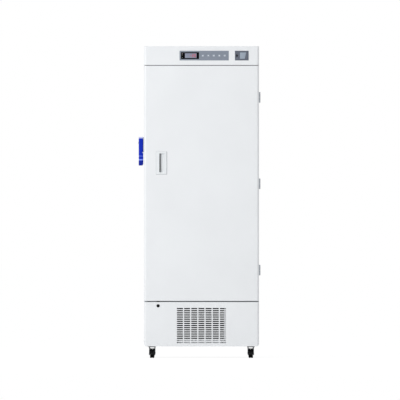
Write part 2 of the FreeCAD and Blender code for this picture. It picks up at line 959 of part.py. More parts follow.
def main_board():
    """A tray on the insulation, and a board on four posts with a transformer, relays and terminals."""
    reach_x, reach_y = tray_width / 2, tray_length / 2
    inside = tray_box(reach_x - tray_wall, reach_y - tray_wall, tray_wall, tray_height + cut_over)
    pieces = [tray_box(reach_x, reach_y, 0, tray_height).cut(inside)]
    for sx in (-1, 1):
        for sy in (-1, 1):
            x, y = sx * (reach_x - post_inset), sy * (reach_y - post_inset)
            pieces.append(tray_box(post_size / 2, post_size / 2, tray_wall, post_top, x, y))
    card_top = post_top + board_sheet
    pieces.append(tray_box(reach_x - board_edge, reach_y - board_edge, post_top, card_top))
    size = transformer_size / 2
    pieces.append(tray_box(size, size, card_top, card_top + transformer_height, transformer_x))
    for i in range(relay_count):
        x = relay_x + relay_pitch * i + relay_width / 2
        y = relay_y + relay_length / 2
        pieces.append(tray_box(relay_width / 2, relay_length / 2, card_top, card_top + relay_height, x, y))
    x = reach_x - post_inset - terminal_strip_length / 2
    y = post_inset + terminal_strip_width / 2 - reach_y
    reach = (terminal_strip_length / 2, terminal_strip_width / 2)
    pieces.append(tray_box(*reach, card_top, card_top + terminal_strip_height, x, y))
    return joined(pieces)


def port_place():
    return data_shift - data_width / 2 + port_inset + port_width / 2


def data_panel():
    body = panel_body(data_shift, data_width)
    x, z = port_place(), panel_z
    wide, high = port_width / 2 + trim_clear, port_height / 2 + trim_clear
    port_hole = box(x - wide, x + wide, -panel_proud - cut_over, panel_depth + cut_over, z - high, z + high)
    label_x = x + port_width / 2 + label_gap
    label_z = panel_height / 2 - label_edge
    recess = prism(
        FRONT, -panel_proud - cut_over, label_recess - panel_proud,
        (label_x, z - label_z), (label_x + label_width - label_slant, z - label_z),
        (label_x + label_width, z + label_z), (label_x, z + label_z),
    )
    return without(body, [port_hole, recess])


def data_port():
    """A socket with a contact tongue, closed at the back."""
    x, z = port_place(), panel_z
    wide, high = port_width / 2, port_height / 2
    body = box(x - wide, x + wide, -panel_proud, port_depth, z - high, z + high)
    floor_y = port_depth - port_floor
    wide, high = socket_width / 2, socket_height / 2
    socket = box(x - wide, x + wide, -panel_proud - cut_over, floor_y, z - high, z + high)
    left = x - wide + port_tongue_gap
    high = high - port_tongue_end
    tongue = box(left, left + tongue_sheet, port_tongue_set, floor_y, z - high, z + high)
    return joined([body.cut(socket), tongue])


save("lower_front_panel", lower_front_panel())
save("header_cover", header_cover())
save("control_panel", control_panel())
save("display_window", display_window())
for number in range(key_count):
    save("panel_key_%d" % (number + 1), display_key(number))
save("control_boards", *control_boards())
save("data_panel", data_panel())
save("data_port", data_port())


# Door


def pull_block(grow, y0, y1):
    """The part of the pull that sits in the door."""
    x0 = -half + pull_from_edge + scoop_inset - undercut - scoop_wall
    x1 = -half + pull_from_edge + scoop_inset + scoop_width + scoop_wall
    z = door_low + pull_mid
    high = scoop_height / 2 + scoop_wall
    return box(x0 - grow, x1 + grow, y0, y1, z - high - grow, z + high + grow)


def door_outer_skin():
    outer = front_form(0.0, door_thickness - door_liner, door_low, door_top)
    inner = front_form(sheet, door_thickness + edge_radius, door_low, door_top)
    pull_hole = pull_block(trim_clear, -cut_over, 2 * sheet)
    bolt_hole = bolt_gap(2 * bolt_clear, 2 * bolt_clear, door_low - sheet, door_low + 2 * sheet)
    return without(outer.cut(inner), [pull_hole, bolt_hole])


def door_foam():
    block = front_form(sheet, door_thickness - door_liner, door_low, door_top)
    bolt_rise = 2 * crank_radius * math.sin(math.radians(crank_rest))
    pocket_top = base_top + bolt_show + bolt_rise + bolt_pocket_clear
    pockets = [pull_block(0.0, 0, scoop_depth + scoop_wall)]
    pockets.append(bolt_gap(bolt_pocket_clear, bolt_pocket_clear, door_low, pocket_top))
    return without(block, pockets)


def ring(outer_x, low, high, band, y0, y1):
    """A rectangular frame of one band's width."""
    outer = box(-outer_x, outer_x, y0, y1, low, high)
    inside = box(band - outer_x, outer_x - band, y0 - cut_over, y1 + cut_over, low + band, high - band)
    return outer.cut(inside)


def door_inner_liner():
    y0, y1 = door_thickness - door_liner, door_thickness
    plate = box(-half, half, y0, y1, door_low, door_top)
    reach = store_half - dyke_clear
    low, high = store_low + dyke_clear, store_top - dyke_clear
    dyke = ring(reach, low, high, dyke_width, y1, y1 + dyke_depth)
    rear = [e for e in dyke.Edges if abs(e.CenterOfMass.y - y1 - dyke_depth) < 1e-6]
    dyke = dyke.makeChamfer(dyke_chamfer, [e for e in rear if e.BoundBox.YLength < 1e-6])
    return joined([plate, dyke])


def door_gasket():
    reach = store_half + gasket_beyond + gasket_width
    y0, y1 = door_thickness + soft_clear, front_depth - soft_clear
    low = store_low - gasket_beyond - gasket_width
    high = store_top + gasket_beyond + gasket_width
    return ring(reach, low, high, gasket_width, y0, y1)


def door_pull():
    """A moulded recess whose floor rises to the right, with a finger lip on its left."""
    x0 = -half + pull_from_edge
    z = door_low + pull_mid
    plate = box(x0, x0 + pull_width, -pull_proud, 0, z - pull_height / 2, z + pull_height / 2)
    front = [e for e in plate.Edges if abs(e.CenterOfMass.y + pull_proud) < 1e-6]
    plate = plate.makeChamfer(pull_chamfer, front)
    body = joined([plate, pull_block(0.0, 0, scoop_depth + scoop_wall)])
    lip = x0 + scoop_inset
    far = lip + scoop_width
    ramp_mid = ((lip + far) / 2 + ramp_shift, ramp_depth)
    over = -pull_proud - cut_over
    scoop = prism(
        PLAN, z - scoop_height / 2, z + scoop_height / 2,
        (lip, over), (lip, lip_thickness), (lip - undercut, lip_thickness),
        (lip - undercut, scoop_depth), (lip, scoop_depth), (ramp_mid, (far, over)),
    )
    return body.cut(scoop)


save("door_outer_skin", door_outer_skin())
save("door_foam", door_foam())
save("door_inner_liner", door_inner_liner())
save("door_gasket", door_gasket())
save("door_pull", door_pull())

# Door hinges
hinge_heights = [door_low + hinge_mid + hinge_pitch * i for i in (-1, 0, 1)]
knuckle_length = (hinge_height - knuckle_gap) / 2


def hinge_block(knuckle_low):
    """A square block with bevelled edges round the hinge axis."""
    reach, bevel = knuckle_radius, knuckle_bevel
    return prism(
        PLAN, knuckle_low, knuckle_low + knuckle_length,
        (hinge_x - reach, hinge_y - reach + bevel), (hinge_x - reach, hinge_y + reach - bevel),
        (hinge_x - reach + bevel, hinge_y + reach), (hinge_x + reach - bevel, hinge_y + reach),
        (hinge_x + reach, hinge_y + reach - bevel), (hinge_x + reach, hinge_y - reach + bevel),
        (hinge_x + reach - bevel, hinge_y - reach), (hinge_x - reach + bevel, hinge_y - reach),
    )


def hinge_half(z, y0, y1, neck_y, knuckle_low):
    """A leaf on the side of the door or the cabinet, with its block on the hinge axis."""
    leaf = box(half, half + hinge_leaf, y0, y1, z - hinge_height / 2, z + hinge_height / 2)
    near, far = sorted((hinge_y, neck_y))
    neck_side = half + knuckle_side_clear
    neck = box(neck_side, half + hinge_leaf, near, far, knuckle_low, knuckle_low + knuckle_length)
    return joined([leaf, neck, hinge_block(knuckle_low)])


def cabinet_leaf(z):
    """The lower half, whose fixed pin stands up into the door's half."""
    near = front_depth + hinge_set
    low = z - hinge_height / 2
    pin = rod(V(hinge_x, hinge_y, low + knuckle_length), V(0, 0, 1), hinge_pin_radius, hinge_pin_length)
    return joined([hinge_half(z, near, near + hinge_reach, near, low), pin])


def door_leaf(z):
    """The upper half, which lifts off the pin."""
    near = door_thickness - hinge_set
    low = z + knuckle_gap / 2
    start = V(hinge_x, hinge_y, low - cut_over)
    bore = rod(start, V(0, 0, 1), hinge_pin_radius + turning_fit, hinge_pin_length + cut_over)
    return hinge_half(z, near - hinge_reach, near, near, low).cut(bore)


save("hinge_cabinet_leaves", *[cabinet_leaf(z) for z in hinge_heights])
save("hinge_door_leaves", *[door_leaf(z) for z in hinge_heights])


# Side latch


def side_plate(thickness, y0, y1, z0, z1):
    """A plate with cut corners on the left side."""
    plate = box(-half - thickness, -half, y0, y1, z0, z1)
    return plate.makeChamfer(plate_corner, [e for e in plate.Edges if e.BoundBox.XLength > 1])


def latch_base():
    """A plate on the door's side with the headed pin that the lever turns on."""
    y, z = latch_pivot_y, latch_z
    plate = side_plate(
        latch_base_sheet, y - latch_base_half, y + latch_base_half, z - latch_base_below, z + lever_above
    )
    head_x = -half - lever_outer - lever_gap
    pin = rod(V(head_x, y, z), V(1, 0, 0), latch_pin_radius, -half - head_x)
    head = tube([V(head_x, y, z), V(head_x - latch_pin_head_length, y, z)], latch_pin_head)
    return joined([plate, pin, head])


def latch_lever():
    """A long grip that hangs from the pivot, with a hook that reaches back past the door's edge."""
    y, z = latch_pivot_y, latch_z
    a, b = lever_half_top, lever_half_bottom
    up, down = lever_above, lever_below
    inner, outer = -half - lever_inner, -half - lever_outer
    side_form = prism(
        SIDE, outer, inner,
        (y - a, z + up - a), (y - a / 2, z + up), (y + a / 2, z + up), (y + a, z + up - a),
        (y + b, z - down + b), (y + b / 2, z - down), (y - b / 2, z - down), (y - b, z - down + b),
    )
    front_form_ = prism(
        FRONT, y - 2 * a, y + 2 * a,
        (inner, z + up), (outer + lever_taper, z + up), (outer, z), (outer, z - down + lever_toe),
        (outer + lever_toe, z - down), (inner - lever_chamfer, z - down), (inner, z - down + lever_chamfer),
    )
    grip = side_form.common(front_form_)
    bands = []
    for rise in band_heights:
        low = z - down + rise
        x0, x1 = outer - cut_over, outer + band_depth
        bands.append(box(x0, x1, y - 2 * a, y + 2 * a, low, low + band_width))
    hook_outer = inner - hook_inset - hook_thickness
    throat = roller_y - y - roller_radius - hook_roller_gap
    edge = z - roller_radius - roller_clear
    low = edge - hook_depth
    gap_y, end_y = y + hook_reach - hook_tip, y + hook_reach
    hook = prism(
        SIDE, hook_outer, hook_outer + hook_thickness,
        (y, edge), (gap_y, edge), (gap_y, edge + throat * hook_slope),
        (gap_y + hook_barb, z + hook_barb), (end_y, z + hook_barb), (end_y, low + hook_corner),
        (end_y - hook_corner, low), (y, low),
    )
    hook.rotate(V(0, y, z), V(1, 0, 0), -hook_home_angle)
    start = V(outer - cut_over, y, z)
    bore = rod(start, V(1, 0, 0), latch_pin_radius + turning_fit, lever_thickness + 2 * cut_over)
    return without(joined([grip.cut(Part.makeCompound(bands)), hook]), [bore])


def latch_keeper():
    """A plate on the cabinet's side with a headed roller for the hook."""
    y0 = front_depth + keeper_setback
    z = latch_z
    plate = side_plate(keeper_sheet, y0, y0 + keeper_length, z - keeper_height / 2, z + keeper_height / 2)
    start = V(-half - keeper_sheet, roller_y, z)
    roller = rod(start, V(-1, 0, 0), roller_radius, roller_length)
    end = start - V(roller_length, 0, 0)
    head = tube([end, end - V(roller_head_length, 0, 0)], roller_head)
    return joined([plate, roller, head])


save("latch_base", latch_base())
save("latch_lever", latch_lever())
save("latch_keeper", latch_keeper())


# Key lock


def lock_barrel():
    """A square body with a round front rim, bored for the key plug."""
    rim = rod(V(lock_x, -barrel_rim, lock_z), V(0, 1, 0), barrel_rim_radius, barrel_rim)
    body = box(
        lock_x - barrel_half, lock_x + barrel_half, -barrel_rim / 2, barrel_length - barrel_rim,
        lock_z - barrel_half, lock_z + barrel_half,
    )
    start = V(lock_x, -barrel_rim - cut_over, lock_z)
    bore = rod(start, V(0, 1, 0), plug_radius + turning_fit, barrel_length + 2 * cut_over)
    return joined([rim, body]).cut(bore)


def lock_plug():
    """The key plug, with a crank arm behind the barrel and a pin that drives the bolt."""
    face_y = -barrel_rim - plug_proud
    arm_y = barrel_length - barrel_rim + soft_clear
    core = rod(V(lock_x, face_y, lock_z), V(0, 1, 0), plug_radius, arm_y - face_y)
    tip = crank_radius + crank_pin_radius
    arm = box(-crank_width / 2, tip, arm_y, arm_y + crank_sheet, -crank_width / 2, crank_width / 2)
    pin_length = crank_sheet + bolt_clear + bolt_sheet
    pin = rod(V(crank_radius, arm_y, 0), V(0, 1, 0), crank_pin_radius, pin_length)
    crank = arm.fuse(pin)
    crank.rotate(V(0, 0, 0), V(0, 1, 0), crank_rest)
    crank.translate(V(lock_x, 0, lock_z))
    wide, high = keyway_width / 2, keyway_height / 2
    near, far = face_y - cut_over, face_y + keyway_depth
    keyway = box(lock_x - wide, lock_x + wide, near, far, lock_z - high, lock_z + high)
    return joined([core, crank]).cut(keyway)


def lock_bolt():
    """A flat bolt with a level slot for the crank pin, whose upper end shows in the seam."""
    y = lock_bolt_mid_y()
    y0, y1 = y - bolt_sheet / 2, y + bolt_sheet / 2
    foot_top = lock_z + crank_radius + bolt_cap - bolt_shoulder
    wide = bolt_foot_width / 2
    foot = box(lock_x - wide, lock_x + wide, y0, y1, lock_z - bolt_below, foot_top)
    wide = bolt_width / 2
    stem = box(lock_x - wide, lock_x + wide, y0, y1, foot_top - bolt_lap, base_top + bolt_show)
    pin_x = lock_x + crank_radius * math.cos(math.radians(crank_rest))
    pin_z = lock_z - crank_radius * math.sin(math.radians(crank_rest))
    tall = crank_pin_radius + bolt_slot_slack
    slot_low_x = pin_x - crank_pin_radius - bolt_slot_slack
    slot_high_x = lock_x + crank_radius + crank_pin_radius + bolt_slot_slack
    slot = box(slot_low_x, slot_high_x, y0 - cut_over, y1 + cut_over, pin_z - tall, pin_z + tall)
    return joined([foot, stem]).cut(slot)


save("lock_barrel", lock_barrel())
save("lock_plug", lock_plug())
save("lock_bolt", lock_bolt())


# Casters


def caster_mount(x, y):
    """The fixed plate, with a raised seat and the king pin below it."""
    size = mount_size / 2
    plate = box(x - size, x + size, y - size, y + size, chassis_low - mount_sheet, chassis_low)
    race_low = fork_top + race_gap
    race_high = chassis_low - mount_sheet
    race = box(x - race_half, x + race_half, y - race_half, y + race_half, race_low, race_high)
    king = rod(V(x, y, fork_top - fork_crown), V(0, 0, 1), king_radius, fork_crown + race_gap + race_sheet)
    return joined([plate, race, king])


def caster_fork(x, y, braked):
    """The swivelling fork and its riveted axle, which stands in front of the king pin by the trail."""
    reach = fork_gap / 2 + fork_sheet
    crown_low = fork_top - fork_crown
    axle_y = y - trail
    pieces = [box(x - reach, x + reach, y - leg_front, y + leg_back, crown_low, fork_top)]
    for side in (-1, 1):
        low, high = sorted((x + side * fork_gap / 2, x + side * reach))
        foot, toe_z = leg_foot / 2, wheel_radius - leg_foot
        pieces.append(prism(
            SIDE, low, high,
            (y + leg_back, fork_top), (y - leg_front, fork_top), (axle_y - leg_foot, wheel_radius),
            (axle_y - foot, toe_z), (axle_y + foot, toe_z), (axle_y + leg_foot, wheel_radius),
            (y + leg_back, crown_low - leg_drop),
        ))
        head = V(x + side * reach, axle_y, wheel_radius)
        pieces.append(tube([head, head + V(side * axle_head, 0, 0)], axle_head_size))
    pieces.append(rod(V(x - fork_gap / 2, axle_y, wheel_radius), V(1, 0, 0), axle_radius, fork_gap))
    if braked:
        pivot = V(x - fork_gap / 2, axle_y + pedal_pivot_back, wheel_radius + pedal_pivot_up)
        pieces.append(rod(pivot, V(1, 0, 0), pivot_radius, fork_gap))
    start = V(x, y, crown_low - cut_over)
    bore = rod(start, V(0, 0, 1), king_radius + turning_fit, fork_crown + 2 * cut_over)
    return joined(pieces).cut(bore)


def caster_wheel(x, y):
    """A plain tread, bored for the axle."""
    wide = wheel_width / 2
    bore = axle_radius + turning_fit
    return turned(
        V(x, y - trail, wheel_radius), V(1, 0, 0), V(0, 0, 1),
        (-wide, bore), (-wide, wheel_radius), (wide, wheel_radius), (wide, bore),
    )


def brake_pedal(x, y):
    """A bent guard in front of the wheel, with two arms that clip on the pivot bar."""
    cy, cz = y - trail, wheel_radius
    inner = wheel_radius + pedal_clear
    outer = inner + pedal_sheet

    def at(radius, part):
        turn = math.radians(pedal_low_angle + part * (pedal_high_angle - pedal_low_angle))
        return (cy + radius * math.cos(turn), cz + radius * math.sin(turn))

    parts = [i / pedal_folds for i in range(pedal_folds + 1)]
    inside = [at(inner, part) for part in parts]
    outside = [at(outer, part) for part in reversed(parts)]
    guard = prism(SIDE, x - pedal_width / 2, x + pedal_width / 2, inside[0], *(inside[1:] + outside))
    pivot_y, pivot_z = cy + pedal_pivot_back, cz + pedal_pivot_up
    wall, room = pedal_boss, pivot_radius + turning_fit
    far = pivot_y + wall
    pieces = [guard]
    for side in (-1, 1):
        low, high = sorted((x + side * pedal_neck / 2, x + side * (pedal_neck / 2 - pedal_arm)))
        pieces.append(prism(
            SIDE, low, high,
            inside[-1], outside[0], (pivot_y - wall, pivot_z + wall), (far, pivot_z + wall),
            (far, pivot_z + room), (pivot_y - room, pivot_z + room),
            (pivot_y - room, pivot_z - room), (far, pivot_z - room), (far, pivot_z - wall),
        ))
    return joined(pieces)


caster_places = []
for y in (caster_front_y, caster_back_y):
    for x in (caster_inset - half, half - caster_inset):
        caster_places.append((x, y))

save("caster_mounts", *[caster_mount(x, y) for x, y in caster_places])
for number, (x, y) in enumerate(caster_places, 1):
    save("caster_fork_%d" % number, caster_fork(x, y, number <= 2))
    save("caster_wheel_%d" % number, caster_wheel(x, y))
for number, (x, y) in enumerate(caster_places[:2], 1):
    save("brake_pedal_%d" % number, brake_pedal(x, y))


# Power inlet


def power_inlet():
    """A flanged socket in the back panel with three flat contacts."""
    x, z = inlet_x, chassis_top + inlet_rise
    mouth = back + inlet_flange
    wide, high = inlet_width / 2, inlet_height / 2
    outer_x, outer_z = wide + inlet_wall, high + inlet_wall
    lip_x, lip_z = outer_x + inlet_lip, outer_z + inlet_lip
    flange = box(x - lip_x, x + lip_x, back, mouth, z - lip_z, z + lip_z)
    floor_y = mouth - inlet_depth
    body = box(x - outer_x, x + outer_x, floor_y - inlet_wall, back, z - outer_z, z + outer_z)
    recess = box(x - wide, x + wide, floor_y, mouth + cut_over, z - high, z + high)
    contacts = []
    for i in (-1, 0, 1):
        cx = x + i * blade_pin_pitch
        cz = z + (blade_pin_offset if i == 0 else -blade_pin_offset)
        contacts.append(box(
            cx - blade_pin_width / 2, cx + blade_pin_width / 2, floor_y, floor_y + blade_pin_length,
            cz - blade_pin_height / 2, cz + blade_pin_height / 2,
        ))
    return joined([joined([flange, body]).cut(recess)] + contacts)


save("power_inlet", power_inlet())
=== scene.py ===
# Looks for an upright laboratory freezer: studio, materials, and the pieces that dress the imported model.
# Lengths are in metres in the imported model's frame, and angles are in degrees.
import json
import math
import bmesh
import bpy
from mathutils import Matrix, Vector

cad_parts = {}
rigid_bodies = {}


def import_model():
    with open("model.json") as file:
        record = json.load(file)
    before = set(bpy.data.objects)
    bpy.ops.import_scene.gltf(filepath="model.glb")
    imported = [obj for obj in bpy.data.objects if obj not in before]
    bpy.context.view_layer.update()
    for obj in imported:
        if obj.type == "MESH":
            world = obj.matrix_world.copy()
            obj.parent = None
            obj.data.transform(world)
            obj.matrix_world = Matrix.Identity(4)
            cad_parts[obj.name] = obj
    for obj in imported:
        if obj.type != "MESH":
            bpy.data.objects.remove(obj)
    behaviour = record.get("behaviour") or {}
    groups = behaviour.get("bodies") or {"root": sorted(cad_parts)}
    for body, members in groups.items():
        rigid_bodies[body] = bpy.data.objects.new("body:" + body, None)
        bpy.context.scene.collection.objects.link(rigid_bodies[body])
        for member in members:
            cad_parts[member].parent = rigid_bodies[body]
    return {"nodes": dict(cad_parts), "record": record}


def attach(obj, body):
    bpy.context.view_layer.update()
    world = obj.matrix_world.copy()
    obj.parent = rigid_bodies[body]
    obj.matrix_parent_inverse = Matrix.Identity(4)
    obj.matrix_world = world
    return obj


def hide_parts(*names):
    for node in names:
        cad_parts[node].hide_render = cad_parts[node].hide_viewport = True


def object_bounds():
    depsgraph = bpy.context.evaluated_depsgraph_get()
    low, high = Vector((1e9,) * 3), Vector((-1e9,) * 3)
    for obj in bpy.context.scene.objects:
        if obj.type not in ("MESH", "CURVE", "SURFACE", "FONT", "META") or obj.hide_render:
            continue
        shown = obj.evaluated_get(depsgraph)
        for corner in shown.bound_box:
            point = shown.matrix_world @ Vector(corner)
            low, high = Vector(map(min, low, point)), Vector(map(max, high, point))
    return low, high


for old in list(bpy.data.objects):
    bpy.data.objects.remove(old)
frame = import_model()
cad_low, cad_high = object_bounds()
scene = bpy.context.scene
nodes = frame["nodes"]

# The studio's values
metres_per_pixel = 0.0062
image_pixels = 400
view_x = 0.0041
view_z = 0.9802
camera_distance = 90
sensor = 36
floor_reach = 120
floor_glow = 0.86
floor_white = 1.066
floor_tone = 0.96
world_strength = 0.715
world_left = 1.05
world_right = 0.70
key_size = 3
key_power = 150
key_place = (-4, -5.4, 2.6)
fill_power = 8
fill_place = (4.5, -5.5, 1.6)
lamp_aim = 1

mm = 0.001
sharp_angle = 32

# The part's own lengths, in its millimetres, and its angles
origin_x = -13.4
origin_y = 371.7
half = 356.5
front_depth = 86
back = 744
top = 1934
shell_low = 87.5
base_top = 347.5
header_low = 1817
bolt_low_x = -279.2
bolt_high_x = -258.8
door_thickness = 78
store_half = 260.5
store_low = 431
store_top = 1737
shelf_heights = (692.2, 953.4, 1214.6, 1475.8)
shelf_y0 = 126
shelf_y1 = 612
riser_y = 632
pass_count = 6
pass_pitch = 84
pass_reach = 210
wire_size = 3
wire_reach = 260.2
wire_count = 31
tube_radius = 3.95
gasket_beyond = 27.5
gasket_width = 24
coil_x = -10
coil_width = 304
coil_setback = 38
coil_y1 = 86
coil_low = 82
coil_top = 306
coil_mid_z = 194
coil_row_pitch = 70
fin_count = 74
fin_reach = 105
fan_y = 87.5
shroud_depth = 17
blade_count = 5
blade_root = 16
blade_tip = 84
compressor_x = 150
compressor_y = 470
compressor_radius = 88
foot_plate_top = 95
foot_plate_x = 110
foot_plate_y = 80
drier_x = -280
drier_y = 520
drier_low = 152
panel_z = 1875.5
panel_proud = 1.2
panel_height = 59.5
screen_x = -102.3
screen_width = 72
screen_height = 29
digit_width = 11
digit_height = 20
digit_stroke = 3.2
lamp_x = -119
key_count = 5
key_first = 144
key_pitch = 34
key_proud = 0.6
port_x = 220
label_x = 238.5
label_width = 39
label_slant = 9
label_edge = 10
label_recess = 0.5
grille_columns = 7
grille_rows = 17
slot_width = 37.5
slot_pitch_x = 44.4
slot_pitch_z = 13.14
grille_shift = -0.5
grille_mid_z = 201.8
grille_left = grille_shift - grille_columns * slot_pitch_x / 2
grille_right = grille_shift + ((grille_columns - 1) * slot_pitch_x + slot_width) / 2
grille_low = grille_mid_z - grille_rows * slot_pitch_z / 2
grille_high = grille_mid_z + grille_rows * slot_pitch_z / 2
baffle_high = grille_low + 2 * slot_pitch_z
baffle_edge = grille_right - slot_width * 0.33
pleat_count = 42
pull_from_edge = 74.5
pull_width = 66
pull_height = 140
pull_z = 1210.5
scoop_inset = 21
scoop_height = 118
scoop_depth = 22
latch_pivot_y = 50
latch_z = 1335
latch_base_sheet = 4
latch_base_half = 26
lever_inner = 4.3
lever_outer = 33.3
hook_inset = 4
hook_thickness = 12
hook_reach = 72
hook_tip = 10
hook_depth = 12
hook_home_angle = 12
roller_radius = 5
roller_clear = 1
roller_y = 106
keeper_sheet = 3
keeper_length = 44
keeper_height = 70
keeper_setback = 6
latch_screw = 3.4
panel_screw = 3.6
hinge_heights = (545, 1081, 1617)
hinge_height = 65
hinge_leaf = 3
hinge_set = 2
hinge_reach = 34
hinge_y = 82
knuckle_radius = 4.5
knuckle_gap = 0.5
knuckle_side_clear = 0.2
inlet_x = -220
inlet_z = 142
chassis_low = 80
wheel_radius = 25
wheel_width = 26
hub_bore = 4.06
tread_from = 19
brake_count = 2
trail = 22
fork_gap = 29
fork_sheet = 4.5
fork_crown = 3
fork_top = 72.5
leg_front = 20
leg_back = 14
leg_foot = 9
leg_drop = 8
mount_size = 54
mount_sheet = 3
bolt_reach = 20.5
pedal_width = 37
pedal_neck = 26
pedal_arm = 4
pedal_clear = 4
pedal_sheet = 2.6
pedal_low_angle = 188
pedal_high_angle = 116
pedal_pivot_back = 8
pedal_pivot_up = 32
pedal_boss = 4
pivot_radius = 2.2
caster_places = ((-306.5, 120), (306.5, 120), (-306.5, 674), (306.5, 674))


def linear(colour, share=1):
    """The linear colour of an sRGB colour given as 0 to 255, darkened or lightened by a share."""
    values = [value / 255 for value in colour]
    return (*(share * (v / 12.92 if v <= 0.04045 else ((v + 0.055) / 1.055) ** 2.4) for v in values), 1)


def add_node(tree, kind, inputs=(), **settings):
    """A shader node with its settings and its inputs, each of them a value or another node's output."""
    node = tree.nodes.new("ShaderNode" + kind)
    for key, value in settings.items():
        setattr(node, key, value)
    for key, value in dict(inputs).items():
        if isinstance(value, bpy.types.NodeSocket):
            tree.links.new(value, node.inputs[key])
        else:
            node.inputs[key].default_value = value
    return node


# Studio


def add_object(name, data):
    made = bpy.data.objects.new(name, data)
    scene.collection.objects.link(made)
    return made


def make_camera():
    data = bpy.data.cameras.new("camera")
    data.sensor_width = sensor
    data.lens = sensor * camera_distance / (image_pixels * metres_per_pixel)
    data.clip_start = 1
    data.clip_end = 1000
    scene.camera = camera = add_object("camera", data)
    camera.location = (view_x, cad_low.y - camera_distance, view_z)
    camera.rotation_euler = (math.radians(90), 0, 0)


def seen_directly(tree):
    """1 for rays that show the background itself, from the camera, a reflection or glass."""
    path = add_node(tree, "LightPath").outputs
    seen = path["Is Camera Ray"]
    for kind in ("Glossy", "Transmission"):
        inputs = {0: seen, 1: path["Is %s Ray" % kind]}
        seen = add_node(tree, "Math", inputs, operation="MAXIMUM").outputs[0]
    return seen


def make_world():
    """Soft light that fades from left to right, and plain white where the background is seen."""
    world = bpy.data.worlds.new("studio")
    scene.world = world
    world.use_nodes = True
    tree = world.node_tree
    tree.nodes.clear()
    place = add_node(tree, "TexCoord").outputs["Generated"]
    across = add_node(tree, "SeparateXYZ", {0: place}).outputs["X"]
    fade = add_node(tree, "MapRange", {
        "Value": across, "From Min": -1, "From Max": 1,
        "To Min": world_strength * world_left, "To Max": world_strength * world_right,
    })
    light = add_node(tree, "Background", {"Color": linear((253, 254, 255)), "Strength": fade.outputs[0]})
    shown = add_node(tree, "Background", {"Color": (1, 1, 1, 1), "Strength": 1.0})
    mix = add_node(tree, "MixShader", {0: seen_directly(tree), 1: light.outputs[0], 2: shown.outputs[0]})
    add_node(tree, "OutputWorld", {0: mix.outputs[0]})


def make_floor():
    """A white floor that mostly glows where it is seen, so that a faint shadow is left on it."""
    mesh = bpy.data.meshes.new("floor")
    r = floor_reach
    mesh.from_pydata([(-r, -r, 0), (r, -r, 0), (r, r, 0), (-r, r, 0)], [], [(0, 1, 2, 3)])
    floor = add_object("floor", mesh)
    material = bpy.data.materials.new("floor")
    material.use_nodes = True
    tree = material.node_tree
    tree.nodes.clear()
    diffuse = add_node(tree, "BsdfDiffuse", {"Color": (floor_tone, floor_tone, floor_tone, 1)})
    glow = add_node(tree, "Emission", {"Color": (1, 1, 1, 1), "Strength": floor_white})
    share = add_node(tree, "Math", {0: seen_directly(tree), 1: floor_glow}, operation="MULTIPLY")
    mix = add_node(tree, "MixShader", {0: share.outputs[0], 1: diffuse.outputs[0], 2: glow.outputs[0]})
    add_node(tree, "OutputMaterial", {0: mix.outputs[0]})
    mesh.materials.append(material)


def make_lamp(name, place, size, power):
    data = bpy.data.lights.new(name, "AREA")
    data.shape = "SQUARE"
    data.size = size
    data.energy = power
    lamp = add_object(name, data)
    lamp.location = place
    aim = Vector((0, 0, lamp_aim)) - Vector(place)
    lamp.rotation_euler = aim.to_track_quat("-Z", "Y").to_euler()


make_camera()
make_world()
make_floor()
make_lamp("key", key_place, key_size, key_power)
make_lamp("fill", fill_place, key_size, fill_power)
scene.view_settings.view_transform = "Standard"


# Materials, kept in looks by name

looks = {}


class Finish:
    """A principled material whose colour, roughness and bump come from procedural textures."""

    def __init__(self, name, metallic=0, specular=0.5):
        looks[name] = bpy.data.materials.new(name)
        looks[name].use_nodes = True
        self.tree = looks[name].node_tree
        self.inputs = self.tree.nodes["Principled BSDF"].inputs
        self.inputs["Metallic"].default_value = metallic
        self.inputs["Specular IOR Level"].default_value = specular
        self.place = self.add("TexCoord").outputs["Object"]

    def add(self, kind, inputs=()):
        return add_node(self.tree, kind, inputs)

    def link(self, source, name):
        self.tree.links.new(source, self.inputs[name])

    def noise(self, scale, detail=2, stretch=(1, 1, 1)):
        """Noise of so many features to the metre, stretched where asked."""
        place = self.add("Mapping", {"Vector": self.place, "Scale": stretch}).outputs[0]
        return self.add("TexNoise", {"Vector": place, "Scale": scale, "Detail": detail}).outputs["Fac"]

    def cells(self, scale):
        return self.add("TexVoronoi", {"Vector": self.place, "Scale": scale}).outputs["Distance"]

    def colour(self, value, *stops):
        """The colour as a ramp over a value. Each stop is (position, colour)."""
        node = self.add("ValToRGB", {"Fac": value})
        elements = node.color_ramp.elements
        elements[0].position, elements[0].color = stops[0]
        elements[1].position, elements[1].color = stops[-1]
        for position, colour in stops[1:-1]:
            elements.new(position).color = colour
        self.link(node.outputs["Color"], "Base Color")

    def roughness(self, value, low, high):
        """The middle of a noise's range, spread from low to high."""
        ends = {"From Min": 0.3, "From Max": 0.7, "To Min": low, "To Max": high}
        self.link(self.add("MapRange", {"Value": value, **ends}).outputs[0], "Roughness")

    def bump(self, value, depth, strength=1):
        """A bump of that depth in metres, on top of any bump made before."""
        node = self.add("Bump", {"Height": value, "Distance": depth, "Strength": strength})
        before = self.inputs["Normal"]
        if before.is_linked:
            self.tree.links.new(before.links[0].from_socket, node.inputs["Normal"])
        self.link(node.outputs[0], "Normal")


def painted(name, colour, low=0.34, high=0.46):
    """Powder-coated sheet: a faint orange peel and slow changes of tone."""
    finish = Finish(name, specular=0.45)
    finish.colour(finish.noise(3, 3), (0.35, linear(colour, 0.985)), (0.65, linear(colour, 1.01)))
    finish.roughness(finish.noise(40), low, high)
    finish.bump(finish.noise(700), 5e-5)
    finish.bump(finish.noise(9, 1), 0.0004, 0.25)


